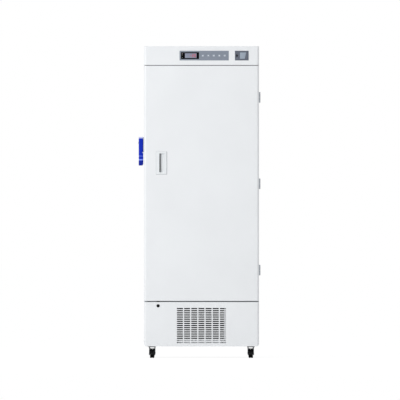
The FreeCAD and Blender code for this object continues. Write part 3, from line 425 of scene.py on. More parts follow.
def moulded(name, colour, low=0.42, high=0.55, grain=1400, depth=4e-5, spread=0.06, specular=0.45):
    """Moulded plastic with a fine spark-eroded grain."""
    finish = Finish(name, specular=specular)
    ends = (0.3, linear(colour, 1 - spread)), (0.7, linear(colour, 1 + spread))
    finish.colour(finish.noise(60, 3), *ends)
    finish.roughness(finish.noise(180), low, high)
    finish.bump(finish.cells(grain), depth)
    return finish


def brushed(name, colour, stretch, low, high, metallic=1):
    """Metal with fine scratches along one direction."""
    finish = Finish(name, metallic)
    lines = finish.noise(2600, 3, stretch)
    finish.colour(lines, (0.25, linear(colour, 0.86)), (0.75, linear(colour, 1.06)))
    finish.roughness(lines, low, high)
    finish.bump(lines, 3e-5)


def plated(name, colour):
    """Zinc plate: soft cloudy patches on a fairly dull metal."""
    finish = Finish(name, 1)
    stops = (0.3, linear(colour, 0.82)), (0.55, linear(colour)), (0.75, linear(colour, 1.08))
    finish.colour(finish.noise(120, 4), *stops)
    finish.roughness(finish.noise(300, 3), 0.3, 0.48)
    finish.bump(finish.noise(900), 3e-5)


def rubbery(name, colour, dust=0, specular=0.3):
    """Rubber or foam with a dull surface, fine pores and a little dust."""
    finish = Finish(name, specular=specular)
    powder = finish.noise(220, 5)
    plain = linear(colour)
    pale = (*(value + dust * 0.05 for value in plain[:3]), 1)
    finish.colour(powder, (0.4, plain), (0.72, pale))
    finish.roughness(powder, 0.62, 0.82)
    finish.bump(finish.noise(1500), 4e-5)


def glowing(name, colour, strength):
    """A lit lens: coloured plastic that also gives off a little of its own light."""
    finish = moulded(name, colour, 0.2, 0.3, 900, 1e-5, 0.05)
    finish.inputs["Emission Color"].default_value = linear(colour)
    finish.inputs["Emission Strength"].default_value = strength


painted("white_paint", (239, 241, 243))
painted("back_paint", (226, 229, 232))
painted("liner_paint", (241, 243, 245), 0.28, 0.4)
painted("dark_paint", (58, 60, 63), 0.4, 0.55)
painted("black_paint", (22, 22, 24), 0.22, 0.36)
painted("hinge_paint", (184, 189, 196), 0.3, 0.42)
painted("pale_sheet", (238, 241, 244))
moulded("liner_plastic", (238, 240, 242), 0.25, 0.36, 900, 3e-5, 0.01)
moulded("frame_plastic", (226, 229, 232), spread=0.02)
moulded("pull_plastic", (236, 239, 241), spread=0.012)
moulded("panel_film", (132, 140, 153), 0.36, 0.46, 2200, 2e-5, 0.03)
moulded("data_film", (92, 98, 111), 0.36, 0.46, 2200, 2e-5, 0.04)
moulded("window_black", (5, 5, 8), 0.1, 0.16, 2600, 5e-6, 0.05, 0.03)
moulded("black_plastic", (18, 18, 20), 0.42, 0.6, specular=0.14)
moulded("key_plastic", (148, 157, 171), 0.35, 0.48, spread=0.02)
moulded("board_green", (28, 96, 58), 0.3, 0.5, 400, 0.0001, 0.2)
moulded("blue_plastic", (10, 44, 180), 0.26, 0.38, 1600, 2e-5, 0.05, 0.12)
# The lever's painted light: a darker blue as painted shade on its lower end, and lighter blues as painted
# highlights on its two grooves and its cap
moulded("blue_low_end_shade", (16, 38, 150), 0.3, 0.42, 1600, 2e-5, 0.05, 0.12)
moulded("blue_upper_groove_highlight", (78, 100, 206), 0.3, 0.42, 1600, 2e-5, 0.04)
moulded("blue_lower_groove_highlight", (124, 146, 240), 0.3, 0.42, 1600, 2e-5, 0.04)
moulded("blue_cap_highlight", (196, 201, 242), 0.3, 0.42, 1600, 2e-5, 0.03)
moulded("screen_grey", (138, 143, 162), 0.14, 0.22, 1600, 5e-6, 0.02, 0.2)
moulded("print_white", (236, 240, 246), 0.5, 0.62, 1800, 1e-5, 0.02)
moulded("label_white", (152, 164, 178), 0.45, 0.58, 1200, 1e-5, 0.02)
moulded("foam", (222, 205, 150), 0.8, 0.95, 300, 0.0006, 0.08)
rubbery("gasket_rubber", (205, 207, 210))
rubbery("wheel_rubber", (8, 8, 9), 0.06, 0.05)
# A grey that is painted shade: the shadow line round the pull's plate, and the lower seam at the sill
rubbery("seam_shadow_grey", (150, 154, 160))
# A dark grey that is painted shade in the pull's undercut
rubbery("pocket_shade_grey", (84, 86, 92))
rubbery("filter_foam", (16, 17, 21), 0.06, 0.04)
brushed("shelf_metal", (216, 220, 224), (1, 0.03, 1), 0.25, 0.4)
brushed("rail_metal", (206, 210, 214), (1, 0.03, 1), 0.3, 0.42)
brushed("coil_metal", (52, 54, 58), (1, 1, 0.05), 0.45, 0.6, 0.4)
brushed("bright_steel", (202, 205, 210), (1, 1, 0.03), 0.2, 0.34)
brushed("copper", (190, 112, 78), (1, 1, 0.04), 0.25, 0.42)
plated("motor_metal", (84, 86, 90))
plated("zinc_metal", (176, 180, 186))
glowing("red_glow", (188, 62, 80), 0.3)
glowing("red_lens", (186, 168, 174), 0.1)
glowing("green_lens", (168, 182, 176), 0.1)
glowing("amber_lens", (184, 180, 170), 0.1)

# The slots whose look has another name
look_of_slot = {
    "back_sheet": "back_paint", "panel_plastic": "panel_film", "window_plastic": "window_black",
    "data_plastic": "data_film", "board": "board_green", "bright_metal": "bright_steel",
}
for part in frame["record"]["subparts"]:
    slot = part["material_slot"]
    mesh = nodes[part["node"]].data
    mesh.materials.clear()
    mesh.materials.append(looks[look_of_slot.get(slot, slot)])

for name in ("lock_plug", "lock_bolt", "fan_blade"):
    nodes[name].data.materials[0] = looks["black_plastic"]


# Shapes


def circle(axis, side, steps):
    """Unit vectors all round an axis, from one side of it."""
    up = axis.cross(side)
    turns = [2 * math.pi * k / steps for k in range(steps)]
    return [side * math.cos(turn) + up * math.sin(turn) for turn in turns]


def arc(x, y, radius, start, end, steps):
    """Points along an arc, with both its ends."""
    turns = [math.radians(start + (end - start) * k / steps) for k in range(steps + 1)]
    return [(x + radius * math.cos(turn), y + radius * math.sin(turn)) for turn in turns]


class Shape:
    """Mesh code for one piece, in the part's millimetres."""

    def __init__(self):
        self.bm = bmesh.new()
        self.vert = self.bm.verts.new

    def face(self, verts, material):
        face = self.bm.faces.new(verts)
        face.material_index = material
        return face

    def soften(self, faces, bevel, segments=2):
        """Rounds all the edges of some faces."""
        if bevel:
            edges = list({edge for face in faces for edge in face.edges})
            bmesh.ops.bevel(
                self.bm, geom=edges, offset=bevel, segments=segments, profile=0.5, affect="EDGES",
                clamp_overlap=True, material=-1,
            )

    def block(self, x0, x1, y0, y1, z0, z1, material=0, bevel=0, segments=2):
        """A block with rounded edges."""
        corners = [self.vert((x, y, z)) for x in (x0, x1) for y in (y0, y1) for z in (z0, z1)]
        sides = ((0, 1, 3, 2), (4, 6, 7, 5), (0, 4, 5, 1), (2, 3, 7, 6), (0, 2, 6, 4), (1, 5, 7, 3))
        self.soften([self.face([corners[i] for i in side], material) for side in sides], bevel, segments)

    def rings(self, loops, material=0, materials=None, closed=False):
        """Faces between successive loops of points, which have the same count, with caps unless closed."""
        made = [[self.vert(point) for point in loop] for loop in loops]
        use = materials or [material] * len(made)
        for index, (a, b) in enumerate(zip(made, made[1:] + made[:1] if closed else made[1:])):
            for k in range(len(a)):
                self.face((a[k - 1], a[k], b[k], b[k - 1]), use[index])
        if not closed:
            self.face(made[0][::-1], use[0])
            self.face(made[-1], use[-1])

    def turned(self, origin, axis, profile, steps=40, material=0, materials=None, closed=False):
        """A profile of (distance along the axis, radius), turned about the axis."""
        origin, axis = Vector(origin), Vector(axis).normalized()
        ways = circle(axis, axis.orthogonal().normalized(), steps)
        loops = [[origin + axis * along + way * radius for way in ways] for along, radius in profile]
        self.rings(loops, material, materials, closed)

    def pipe(self, points, radius, bend=0, steps=12, material=0, turns=6):
        """A round tube along straight runs with rounded bends."""
        path = rounded(points, bend, turns)
        side = (path[1] - path[0]).normalized().orthogonal().normalized()
        loops = []
        for before, point, after in zip(path[:1] + path, path, path[1:] + path[-1:]):
            way = (after - before).normalized()
            side = (side - way * side.dot(way)).normalized()
            loops.append([point + out * radius for out in circle(way, side, steps)])
        self.rings(loops, material)

    def prism(self, place, low, high, outline, material=0, bevel=0):
        """A flat outline, extruded along the axis that place doesn't use."""
        a, b = ([self.vert(place(u, v, w)) for u, v in outline] for w in (low, high))
        faces = [self.face(a[::-1], material), self.face(b, material)]
        faces += [self.face((a[k - 1], a[k], b[k], b[k - 1]), material) for k in range(len(a))]
        self.soften(faces, bevel)

    def turn(self, start, centre, axis, angle):
        """Turns the points made since start about an axis."""
        self.bm.verts.ensure_lookup_table()
        rotation = Matrix.Rotation(math.radians(angle), 3, axis)
        bmesh.ops.rotate(self.bm, verts=self.bm.verts[start:], cent=centre, matrix=rotation)

    def screw(self, origin, axis, radius, material=0, height=0.55):
        """A pan head with a cross recess, whose height is a share of its radius."""
        axis = Vector(axis).normalized()
        ways = circle(axis, axis.orthogonal().normalized(), 32)
        high = radius * height
        loops = []
        for share, rise in ((1, 0), (1, 0.35), (0.92, 0.7), (0.72, 0.93), (0.55, 1), (0.3, 1), (0.1, 1)):
            loop = []
            for k, way in enumerate(ways):
                in_cross = share < 0.5 and min(k % 8, 8 - k % 8) <= (1 if share > 0.2 else 4)
                out = high * (rise - 0.45 if in_cross else rise)
                loop.append(Vector(origin) + axis * out + way * (share * radius))
            loops.append(loop)
        self.rings(loops, material)


def in_front(u, v, w):
    """Across, up, and along y."""
    return (u, w, v)


def in_side(u, v, w):
    """Along y, up, and along x."""
    return (w, u, v)


def in_plan(u, v, w):
    """Along x, along y, and up."""
    return (u, v, w)


def rounded(points, bend, turns):
    """The runs' points, with an arc of so many steps at each corner."""
    points = [Vector(p) for p in points]
    path = [points[0]]
    for before, corner, after in zip(points, points[1:], points[2:]):
        to_before = (before - corner).normalized()
        to_after = (after - corner).normalized()
        half_turn = to_before.angle(to_after) / 2
        room = min((before - corner).length, (after - corner).length) / 2.02
        reach = min(bend / math.tan(half_turn), room)
        radius = reach * math.tan(half_turn)
        centre = corner + (to_before + to_after).normalized() * (radius / math.sin(half_turn))
        start = corner + to_before * reach - centre
        end = corner + to_after * reach - centre
        path += [centre + start.slerp(end, i / turns) for i in range(turns + 1)]
    path.append(points[-1])
    return path


def piece(name, shape, slot, look_names=(), replaces=(), body="cabinet"):
    """One object that rides on a body, smooth except at its sharp edges, in its slot's look or others."""
    bm = shape.bm
    to_frame = Matrix.Scale(mm, 4) @ Matrix.Translation((-origin_x, -origin_y, 0))
    bmesh.ops.transform(bm, verts=bm.verts, matrix=to_frame)
    bmesh.ops.recalc_face_normals(bm, faces=bm.faces)
    for face in bm.faces:
        face.smooth = True
    for edge in bm.edges:
        edge.smooth = len(edge.link_faces) != 2 or edge.calc_face_angle(0) < math.radians(sharp_angle)
    mesh = bpy.data.meshes.new(name)
    bm.to_mesh(mesh)
    bm.free()
    for look in look_names or (slot,):
        mesh.materials.append(looks[look])
    made = add_object(name, mesh)
    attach(made, body)
    if replaces:
        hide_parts(*replaces)


def round_loop(x0, x1, y0, y1, z, corner, steps=5):
    """A level rectangle with rounded corners, as points."""
    corner = min(corner, (x1 - x0) / 2 - 0.01, (y1 - y0) / 2 - 0.01)
    left, right, near, far = x0 + corner, x1 - corner, y0 + corner, y1 - corner
    loop = []
    for cx, cy, start in ((right, far, 0), (left, far, 90), (left, near, 180), (right, near, 270)):
        loop += [(x, y, z) for x, y in arc(cx, cy, corner, start, start + 90, steps)]
    return loop


def upright_loop(x0, x1, z0, z1, y, corner):
    """The same, upright in the plane of the front."""
    return [(x, y, z) for x, z, y in round_loop(x0, x1, z0, z1, y, corner, 4)]


def make_screws(name, body, places, height=0.55):
    """Screws as one piece. Each place is (position, axis, radius)."""
    shape = Shape()
    for position, axis, radius in places:
        shape.screw(position, axis, radius, 0, height)
    piece(name, shape, "bright_metal", ("bright_steel",), body=body)


# Casters


def make_wheel(number, x, y):
    """A twin tread with a groove between, and a hub with a web on each side."""
    name = "caster_wheel_%d" % number
    r = wheel_radius
    wide = wheel_width / 2
    # How far in from the side, and the radius
    inward = (
        (5.5, hub_bore), (0.6, hub_bore), (0.3, hub_bore + 0.5), (0.3, 8), (1, 8.8), (4, 9.5), (4.5, 10.5),
        (4.5, 16.5), (4, 17.5), (1.2, 18.4), (0.4, 19.2), (0, 20.5), (0, 23.4), (0.3, 24.3), (1, 24.9),
        (2.2, r), (11.2, r), (11.8, 24.5), (12.1, 23.4), (12.3, 22.2),
    )
    half_profile = [(wide - a, b) for a, b in inward]
    profile = [(-a, b) for a, b in half_profile] + half_profile[::-1]
    materials = [0 if b > tread_from else 1 for a, b in profile]
    shape = Shape()
    shape.turned((x, y - trail, r), (1, 0, 0), profile, 56, materials=materials, closed=True)
    piece("wheel_%d" % number, shape, "wheel_rubber", ("wheel_rubber", "black_plastic"), [name], body=name)


def make_fork(number, x, y):
    """A pressed bracket with a dust cup, two legs, a riveted axle and the king pin's rivet."""
    name = "caster_fork_%d" % number
    reach = fork_gap / 2 + fork_sheet
    crown_low = fork_top - fork_crown
    axle_y = y - trail
    shape = Shape()
    shape.block(x - reach, x + reach, y - leg_front, y + leg_back, crown_low, fork_top, 1, 1.4, 3)
    cup = ((0, 21), (0.4, 23), (1.2, 23.5), (5.4, 23.5), (6.1, 23), (6.2, 18), (2.9, 17))
    shape.turned((x, y, fork_top - 0.1), (0, 0, -1), cup, 44, 1)
    leg_top = fork_top - 1.2
    for side in (-1, 1):
        low, high = sorted((x + side * fork_gap / 2, x + side * (reach - 0.01)))
        outline = [(y + leg_back - 0.5, leg_top), (y - leg_front + 0.5, leg_top)]
        outline += arc(axle_y, wheel_radius, leg_foot, 180, 360, 8)
        outline.append((y + leg_back - 0.5, crown_low - leg_drop))
        shape.prism(in_side, low, high, outline, 0, 0.9)
        rivet = ((-0.5, 6.8), (0.2, 6.8), (0.3, 5.8), (0.9, 5.4), (1.4, 3.6), (1.5, 1.2))
        shape.turned((x + side * reach, axle_y, wheel_radius), (side, 0, 0), rivet, 28)
    shape.turned((x - fork_gap / 2, axle_y, wheel_radius), (1, 0, 0), ((0, 3.98), (fork_gap, 3.98)), 28)
    pin = ((-0.5, 8.6), (0.6, 8.6), (1.4, 8.2), (2, 6.8), (2.4, 4.2), (2.5, 1.5))
    shape.turned((x, y, crown_low), (0, 0, -1), pin, 36)
    if number <= brake_count:
        pivot = (x - fork_gap / 2, axle_y + pedal_pivot_back, wheel_radius + pedal_pivot_up)
        shape.turned(pivot, (1, 0, 0), ((0, pivot_radius), (fork_gap, pivot_radius)), 20)
    piece("bracket_%d" % number, shape, "zinc_metal", ("zinc_metal", "black_plastic"), [name], body=name)


def make_mounts():
    """Top plates with bolts, and a round ball race under each."""
    shape = Shape()
    size = mount_size / 2
    plate_low = chassis_low - mount_sheet
    race = (
        (-0.5, 23.5), (0.4, 23.5), (0.9, 22.6), (1.6, 22.2), (2.6, 22), (3.5, 21.2), (4, 19.6),
        (4.2, 17), (4.2, 5), (7, 4.98), (7.5, 4.6),
    )
    bolt = ((-0.3, 4.6), (0.5, 4.6), (0.5, 4), (3.2, 4), (3.6, 3.4))
    for x, y in caster_places:
        loops = []
        for drop, inset in ((0, 0.6), (0.6, 0), (2.4, 0), (3, 0.6)):
            reach = size - inset
            loops.append(round_loop(x - reach, x + reach, y - reach, y + reach, chassis_low - drop, 6))
        shape.rings(loops)
        shape.turned((x, y, plate_low), (0, 0, -1), race, 44, 1)
        for sx in (-bolt_reach, bolt_reach):
            for sy in (-bolt_reach, bolt_reach):
                shape.turned((x + sx, y + sy, plate_low), (0, 0, -1), bolt, 6)
    piece("mounts", shape, "zinc_metal", ("zinc_metal", "black_paint"), ["caster_mounts"])


def make_pedal(number, x, y):
    """A curved guard with side lips and grip ribs, and two arms that clip on the pivot bar."""
    name = "brake_pedal_%d" % number
    cy, cz = y - trail, wheel_radius
    inner = wheel_radius + pedal_clear
    wide = pedal_width / 2
    shape = Shape()

    def at(radius, part):
        turn = math.radians(pedal_low_angle + part * (pedal_high_angle - pedal_low_angle))
        return (cy + radius * math.cos(turn), cz + radius * math.sin(turn))

    def band(low, high):
        parts = [i / 14 for i in range(15)]
        return [at(low, part) for part in parts] + [at(high, part) for part in reversed(parts)]

    shape.prism(in_side, x - wide + 0.4, x + wide - 0.4, band(inner, inner + pedal_sheet), 0, 0.5)
    for side in (-1, 1):
        low, high = sorted((x + side * wide, x + side * (wide - 1.8)))
        shape.prism(in_side, low, high, band(inner - 1, inner + 3), 0, 0.4)
    for k in range(5):
        part, foot, tip = 0.62 + 0.075 * k, 0.012, 0.0072
        rib = [at(inner + 2, part - foot), at(inner + 3, part - tip),
               at(inner + 3, part + tip), at(inner + 2, part + foot)]
        shape.prism(in_side, x - wide + 3.5, x + wide - 3.5, rib)
    pivot_y, pivot_z = cy + pedal_pivot_back, cz + pedal_pivot_up
    boss = arc(pivot_y, pivot_z, pedal_boss, 40, 320, 12)
    boss += arc(pivot_y, pivot_z, pivot_radius + 0.1, 50, 310, 12)[::-1]
    near = pivot_y - pedal_boss
    arm = [at(inner, 1), (near + 0.8, pivot_z - 1.6), (near + 1.4, pivot_z + 2.6), at(inner + pedal_sheet, 1)]
    for side in (-1, 1):
        low, high = sorted((x + side * pedal_neck / 2, x + side * (pedal_neck / 2 - pedal_arm)))
        shape.prism(in_side, low, high, boss, 1)
        shape.prism(in_side, low + 0.1, high - 0.1, arm, 1, 0.3)
    piece("pedal_%d" % number, shape, "black_plastic", ("black_plastic", "zinc_metal"), [name], body=name)


# Side latch


def make_lever():
    """A rounded grip with two grooves and a cap whose lighter blues are painted highlights, a lower end in a
    darker blue that is painted shade, and the hook behind it.
    """
    y, z = latch_pivot_y, latch_z
    inner, outer = -half - lever_inner, -half - lever_outer
    # Height from the pivot, what is off on the left and on the right, half depth, corner, material
    # Material 0 is the plain blue; 3 and 1 are painted highlights on the upper and lower grooves, 2 is a
    # painted highlight on the cap, and 4 is painted shade on the lower end
    sections = (
        (36, 1.6, 1.2, 8.5, 3.5, 2), (35, 0.7, 0.5, 10.5, 4.5, 2), (31, 0.3, 0.2, 13, 5.5, 2),
        (27.5, 0.1, 0.1, 14.8, 6.5, 2), (26.8, 0, 0, 15, 6.5, 0), (18, 0, 0, 17, 7.5, 0),
        (0, 0, 0, 17, 8, 0), (-58, 0, 0, 15.4, 8, 0), (-78, 0, 0, 14.9, 8, 0),
        (-79, 0.9, 0.4, 14.2, 7.4, 0), (-85, 0.9, 0.4, 14, 7.4, 3), (-86, 0, 0, 14.6, 8, 0),
        (-100, 0, 0, 14.2, 8, 0), (-101, 0.9, 0.4, 13.5, 7.4, 0), (-109, 0.9, 0.4, 13.3, 7.4, 1),
        (-110, 0, 0, 13.8, 8, 0), (-128, 0, 0, 13, 8, 4), (-134, 0, 1, 11.8, 7, 4),
        (-138.5, 0.3, 4, 9.6, 5.5, 4), (-140.4, 0.9, 6, 8, 4, 4), (-141, 1.6, 7, 7, 3.5, 4),
    )
    loops = [
        round_loop(outer + left, inner - right, y - deep, y + deep, z + rise, corner)
        for rise, left, right, deep, corner, material in sections
    ]
    # The faces between two sections take the lower one's material
    materials = [section[5] for section in sections]
    shape = Shape()
    shape.rings(loops, materials=materials[1:] + [0])
    hook_outer = inner - hook_inset - hook_thickness
    edge = z - roller_radius - roller_clear
    low = edge - hook_depth
    gap_y, end_y = y + hook_reach - hook_tip, y + hook_reach
    throat = roller_y - y - roller_radius - 2
    start = len(shape.bm.verts)
    outline = [
        (y, edge), (gap_y, edge), (gap_y, edge + throat * 0.18), (gap_y + 3, z + 3), (end_y - 2, z + 3),
        (end_y, z + 1), (end_y, low + 4), (end_y - 1.2, low + 1.2), (end_y - 4, low), (y, low),
    ]
    shape.prism(in_side, hook_outer, hook_outer + hook_thickness, outline, 0, 0.7)
    shape.turn(start, (0, y, z), "X", -hook_home_angle)
    # The plain blue, then the painted highlights and the painted shade
    blues = ("blue_plastic", "blue_lower_groove_highlight", "blue_cap_highlight", "blue_upper_groove_highlight", "blue_low_end_shade")
    piece("lever", shape, "blue_plastic", blues, ["latch_lever"], body="latch_lever")
    button = Shape()
    profile = ((0, 3), (0.8, 3), (1.2, 2.5), (1.3, 0.9))
    button.turned((inner - 2.6, y - 15, z - 60.3), (0, -1, 0), profile, 24)
    piece("lever_button", button, "blue_plastic", ("print_white",), body="latch_lever")


def make_latch_screws():
    """The base's screws, nearly flush so that the lever passes over them, and the keeper's."""
    x, z, reach = -half - latch_base_sheet, latch_z, latch_base_half - 6.5
    make_screws("latch_base_screws", "door", [
        ((x, latch_pivot_y + along, z + rise), (-1, 0, 0), latch_screw)
        for along in (-reach, reach) for rise in (-53, 29)
    ], 0.06)
    x, y, reach = -half - keeper_sheet, front_depth + keeper_setback, keeper_height / 2 - 8
    make_screws("keeper_screws", "cabinet", [
        ((x, y + along, z + rise), (-1, 0, 0), latch_screw)
        for along in (9, keeper_length - 9) for rise in (-reach, reach)
    ])


# Hinges


def make_hinges():
    """Leaves with rounded corners, a round knuckle on each, and screws."""
    tall = (hinge_height - knuckle_gap) / 2
    x = half + knuckle_side_clear + knuckle_radius
    barrel = ((0, 3.9), (0.5, knuckle_radius), (tall - 0.5, knuckle_radius), (tall, 3.9))
    for body, near, sign, rise in (
        ("door", door_thickness - hinge_set, -1, knuckle_gap / 2),
        ("cabinet", front_depth + hinge_set, 1, -hinge_height / 2),
    ):
        shape = Shape()
        for height in hinge_heights:
            y0, y1 = sorted((near, near + sign * hinge_reach))
            low = height - hinge_height / 2
            leaf = [(y, z) for y, z, w in round_loop(y0, y1, low, low + hinge_height, 0, 3)]
            shape.prism(in_side, half, half + hinge_leaf, leaf, 0, 0.35)
            y0, y1 = sorted((hinge_y, near + sign * 2))
            z0 = height + rise
            shape.block(half + knuckle_side_clear, half + hinge_leaf - 0.02, y0, y1, z0, z0 + tall)
            shape.turned((x, hinge_y, z0), (0, 0, 1), barrel, 36)
            for dz in (-22, 0, 22):
                place = (half + hinge_leaf, near + sign * (hinge_reach - 9), height + dz)
                shape.screw(place, (1, 0, 0), 4, 1)
        looks_used, node = ("hinge_paint", "bright_steel"), "hinge_%s_leaves" % body
        piece("hinge_%s_leaf" % body, shape, "hinge_paint", looks_used, [node], body)


# Header


def seven_segments(shape, digit, x, z, y0, y1):
    """One digit of flat bars with pointed ends, whose lower left corner is at x, z."""
    lit = {"-": "g", "0": "abcdef", "2": "abged"}[digit]
    h, gap = digit_stroke / 2, digit_stroke * 0.16
    left, right = x + h, x + digit_width - h
    low, mid, high = z + h, z + digit_height / 2, z + digit_height - h
    for bar, upright, start, end, at in (
        ("a", 0, left, right, high), ("g", 0, left, right, mid), ("d", 0, left, right, low),
        ("f", 1, mid, high, left), ("b", 1, mid, high, right), ("e", 1, low, mid, left),
        ("c", 1, low, mid, right),
    ):
        if bar in lit:
            a, b = start + gap, end - gap
            outline = [(a, at), (a + h, at + h), (b - h, at + h), (b, at), (b - h, at - h), (a + h, at - h)]
            shape.prism(in_front, y0, y1, [point[::-1] for point in outline] if upright else outline)


def make_display():
    """The screen, its digits and three status lamps."""
    face = -panel_proud
    x0, x1 = screen_x, screen_x + screen_width
    z0, z1 = panel_z - screen_height / 2, panel_z + screen_height / 2
    screen = Shape()
    screen.rings([
        upright_loop(x0 + inset, x1 - inset, z0 + inset, z1 - inset, y, 1.5)
        for y, inset in ((face, 0), (face - 0.12, 0), (face - 0.2, 0.12))
    ])
    piece("display_screen", screen, "window_plastic", ("screen_grey",))
    digits = Shape()
    start = x1 - 3 * digit_width - 11.3
    for k, digit in enumerate("-20"):
        x = start + k * (digit_width + 3.4)
        seven_segments(digits, digit, x, panel_z - digit_height / 2, face - 0.32, face - 0.2)
    piece("display_digits", digits, "window_plastic", ("red_glow",))
    lens = ((0, 1.6), (0.3, 1.6), (0.6, 1.3), (0.8, 0.8), (0.9, 0.3))
    for k, (dz, look) in enumerate(((14, "red_lens"), (3.5, "amber_lens"), (-12, "green_lens")), 1):
        lamp = Shape()
        lamp.turned((lamp_x, face, panel_z + dz), (0, -1, 0), lens, 24)
        piece("status_lamp_%d" % k, lamp, "window_plastic", (look,))


def make_key_marks():
    """Generic marks on the keys: up, down, enter, bell and power."""
    y1 = -panel_proud - key_proud
    y0 = y1 - 0.15
    z = panel_z
    for number in range(key_count):
        x = key_first - (key_count - 1 - number) * key_pitch
        shape = Shape()
        if number < 2:
            sign = 1 - 2 * number
            arrow = [(x - 4.6, z - 3.2 * sign), (x + 4.6, z - 3.2 * sign), (x, z + 4 * sign)]
            shape.prism(in_front, y0, y1, arrow)
        elif number == 2:
            flat_ring(shape, x, z, 4.6, 3, 0, 360, y0, y1)
            shape.turned((x, y1, z), (0, -1, 0), ((0, 1.3), (0.15, 1.3)), 20)
        elif number == 3:
            right = [(4.4, -2.6), (3, -1.2), (2.8, 1.6), (1.4, 3.6)]
            bell = [(-u, v) for u, v in right] + right[::-1]
            shape.prism(in_front, y0, y1, [(x + u, z + v) for u, v in bell])
            shape.block(x - 1.3, x + 1.3, y0, y1, z - 4.6, z - 3.4)
        else:
            flat_ring(shape, x, z, 4.4, 2.9, 120, 420, y0, y1)
            shape.block(x - 0.8, x + 0.8, y0, y1, z + 0.4, z + 5.2)
        name, body = "key_mark_%d" % (number + 1), "panel_key_%d" % (number + 1)
        piece(name, shape, "key_plastic", ("print_white",), body=body)


def flat_ring(shape, x, z, outer, inner, start, end, y0, y1):
    """A flat ring, or part of one."""
    rim, bore = (arc(x, z, radius, start, end, 28) for radius in (outer, inner))
    if end - start < 360:
        shape.prism(in_front, y0, y1, rim + bore[::-1])
        return
    edges = ((rim, y1), (rim, y0), (bore, y0), (bore, y1))
    shape.rings([[(u, y, v) for u, v in points[:-1]] for points, y in edges], closed=True)


def make_label():
    """A blank label in the data panel's recess, and a small mark under the port."""
    shape = Shape()
    y1 = label_recess - panel_proud
    left, right = label_x + 0.2, label_x + label_width - 0.3
    reach = panel_height / 2 - label_edge - 0.2
    outline = [(left, panel_z - reach), (right - label_slant, panel_z - reach), (right, panel_z + reach),
               (left, panel_z + reach)]
    shape.prism(in_front, y1 - 0.35, y1, outline, 0, 0.1)
    piece("blank_label", shape, "data_plastic", ("label_white",))
    mark = Shape()
    x, z, face = port_x, panel_z - 15.5, -panel_proud
    mark.prism(in_front, face - 0.15, face, [(x - 2.4, z - 1.8), (x + 2.4, z - 1.8), (x, z + 2)])
    piece("port_mark", mark, "data_plastic", ("label_white",))


# Storage space


def make_shelves():
    """Round serpentine tubes with cross wires that are welded to them."""
    wire_pitch = (shelf_y1 - shelf_y0 - wire_size) / (wire_count - 1)
    for number, z in enumerate(shelf_heights, 1):
        shape = Shape()
        points = [(-pass_reach, shelf_y1, z)]
        for i in range(pass_count - 1):
            x = i * pass_pitch - pass_reach
            peak = shelf_y0 + 4 if i % 2 == 0 else shelf_y1 - 4
            points += [(x, peak, z), (x + pass_pitch, peak, z)]
        points.append((pass_reach, shelf_y1, z))
        shape.pipe(points, tube_radius, pass_pitch / 2 - 0.5, 14, 0, 8)
        for i in range(wire_count):
            y = shelf_y0 + i * wire_pitch + wire_size / 2
            thick = 1.45 if i % 3 == 0 else 1.1
            height = z + 4 + thick
            shape.pipe([(-wire_reach, y, height), (wire_reach, y, height)], thick, 0, 8)
        name = "evaporator_shelf_%d" % number
        piece("shelf_%d" % number, shape, "shelf_metal", replaces=[name])


def make_pipes():
    """Bent copper lines, the shelves' risers and the drier's canister."""
    shape = Shape()
    y = (coil_setback + coil_y1) / 2
    right, left = coil_x + coil_width / 2, coil_x - coil_width / 2
    high, low = coil_mid_z + coil_row_pitch, coil_mid_z - coil_row_pitch
    out_x = compressor_x + compressor_radius + 50
    rise_x = pass_reach + 30
    first, last = shelf_heights[0], shelf_heights[-1]
    runs = [
        [(out_x - 53, compressor_y, 152), (out_x, compressor_y, 152), (out_x, compressor_y, high),
         (out_x, y, high), (right, y, high)],
        [(left, y, low), (drier_x, y, low), (drier_x, drier_y, low), (drier_x, drier_y, drier_low)],
        [(drier_x, drier_y, drier_low + 110), (drier_x, drier_y, 321), (-pass_reach, riser_y, 321),
         (-pass_reach, riser_y, first), (-pass_reach, shelf_y1, first)],
        [(pass_reach, shelf_y1, last), (pass_reach, riser_y, last), (rise_x, riser_y, last),
         (rise_x, riser_y, 142), (compressor_x, riser_y, 142),
         (compressor_x, compressor_y + compressor_radius - 3, 142)],
    ]
    for i, (a, b) in enumerate(zip(shelf_heights, shelf_heights[1:])):
        x = pass_reach if i % 2 == 0 else -pass_reach
        runs.append([(x, shelf_y1, a), (x, riser_y, a), (x, riser_y, b), (x, shelf_y1, b)])
    for points in runs:
        shape.pipe(points, tube_radius, 14, 14)
    shape.turned((drier_x, drier_y, drier_low), (0, 0, 1), (
        (0, 4.4), (4, 4.8), (10, 9), (16, 12.6), (20, 13.8), (24, 14), (86, 14), (90, 13.8), (94, 12.6),
        (100, 9), (106, 4.8), (110, 4.4),
    ), 36)
    piece("pipes", shape, "copper", replaces=["refrigerant_pipes"])


def make_gasket():
    """A bellows strip with a magnet bulb, mitred at its four corners."""
    y0, y1 = door_thickness + 0.3, front_depth - 0.3
    profile = [
        (0.4, y0), (0, y0 + 0.5), (0.3, y0 + 1.4), (3, y0 + 1.9), (4.4, y0 + 2.6), (3.2, y0 + 3.4),
        (1.4, y0 + 4), (0.6, y0 + 4.9), (0.5, y1 - 1), (1.3, y1 - 0.2), (2.6, y1), (14, y1),
        (15.2, y1 - 0.2), (15.8, y1 - 0.9), (15.6, y0 + 4.6), (16.6, y0 + 3.7), (19, y0 + 3.4),
        (22.6, y0 + 3), (23.8, y0 + 2.2), (24, y0 + 1.2), (23.6, y0 + 0.3), (22.8, y0),
    ]
    grow = gasket_beyond + gasket_width
    reach, low, high = store_half + grow, store_low - grow, store_top + grow
    loops = [
        [(sx * (reach - t), y, z - sz * t) for t, y in profile]
        for sx, sz, z in ((-1, -1, low), (1, -1, low), (1, 1, high), (-1, 1, high))
    ]
    shape = Shape()
    shape.rings(loops, closed=True)
    piece("gasket", shape, "gasket_rubber", replaces=["door_gasket"], body="door")


# Machine compartment


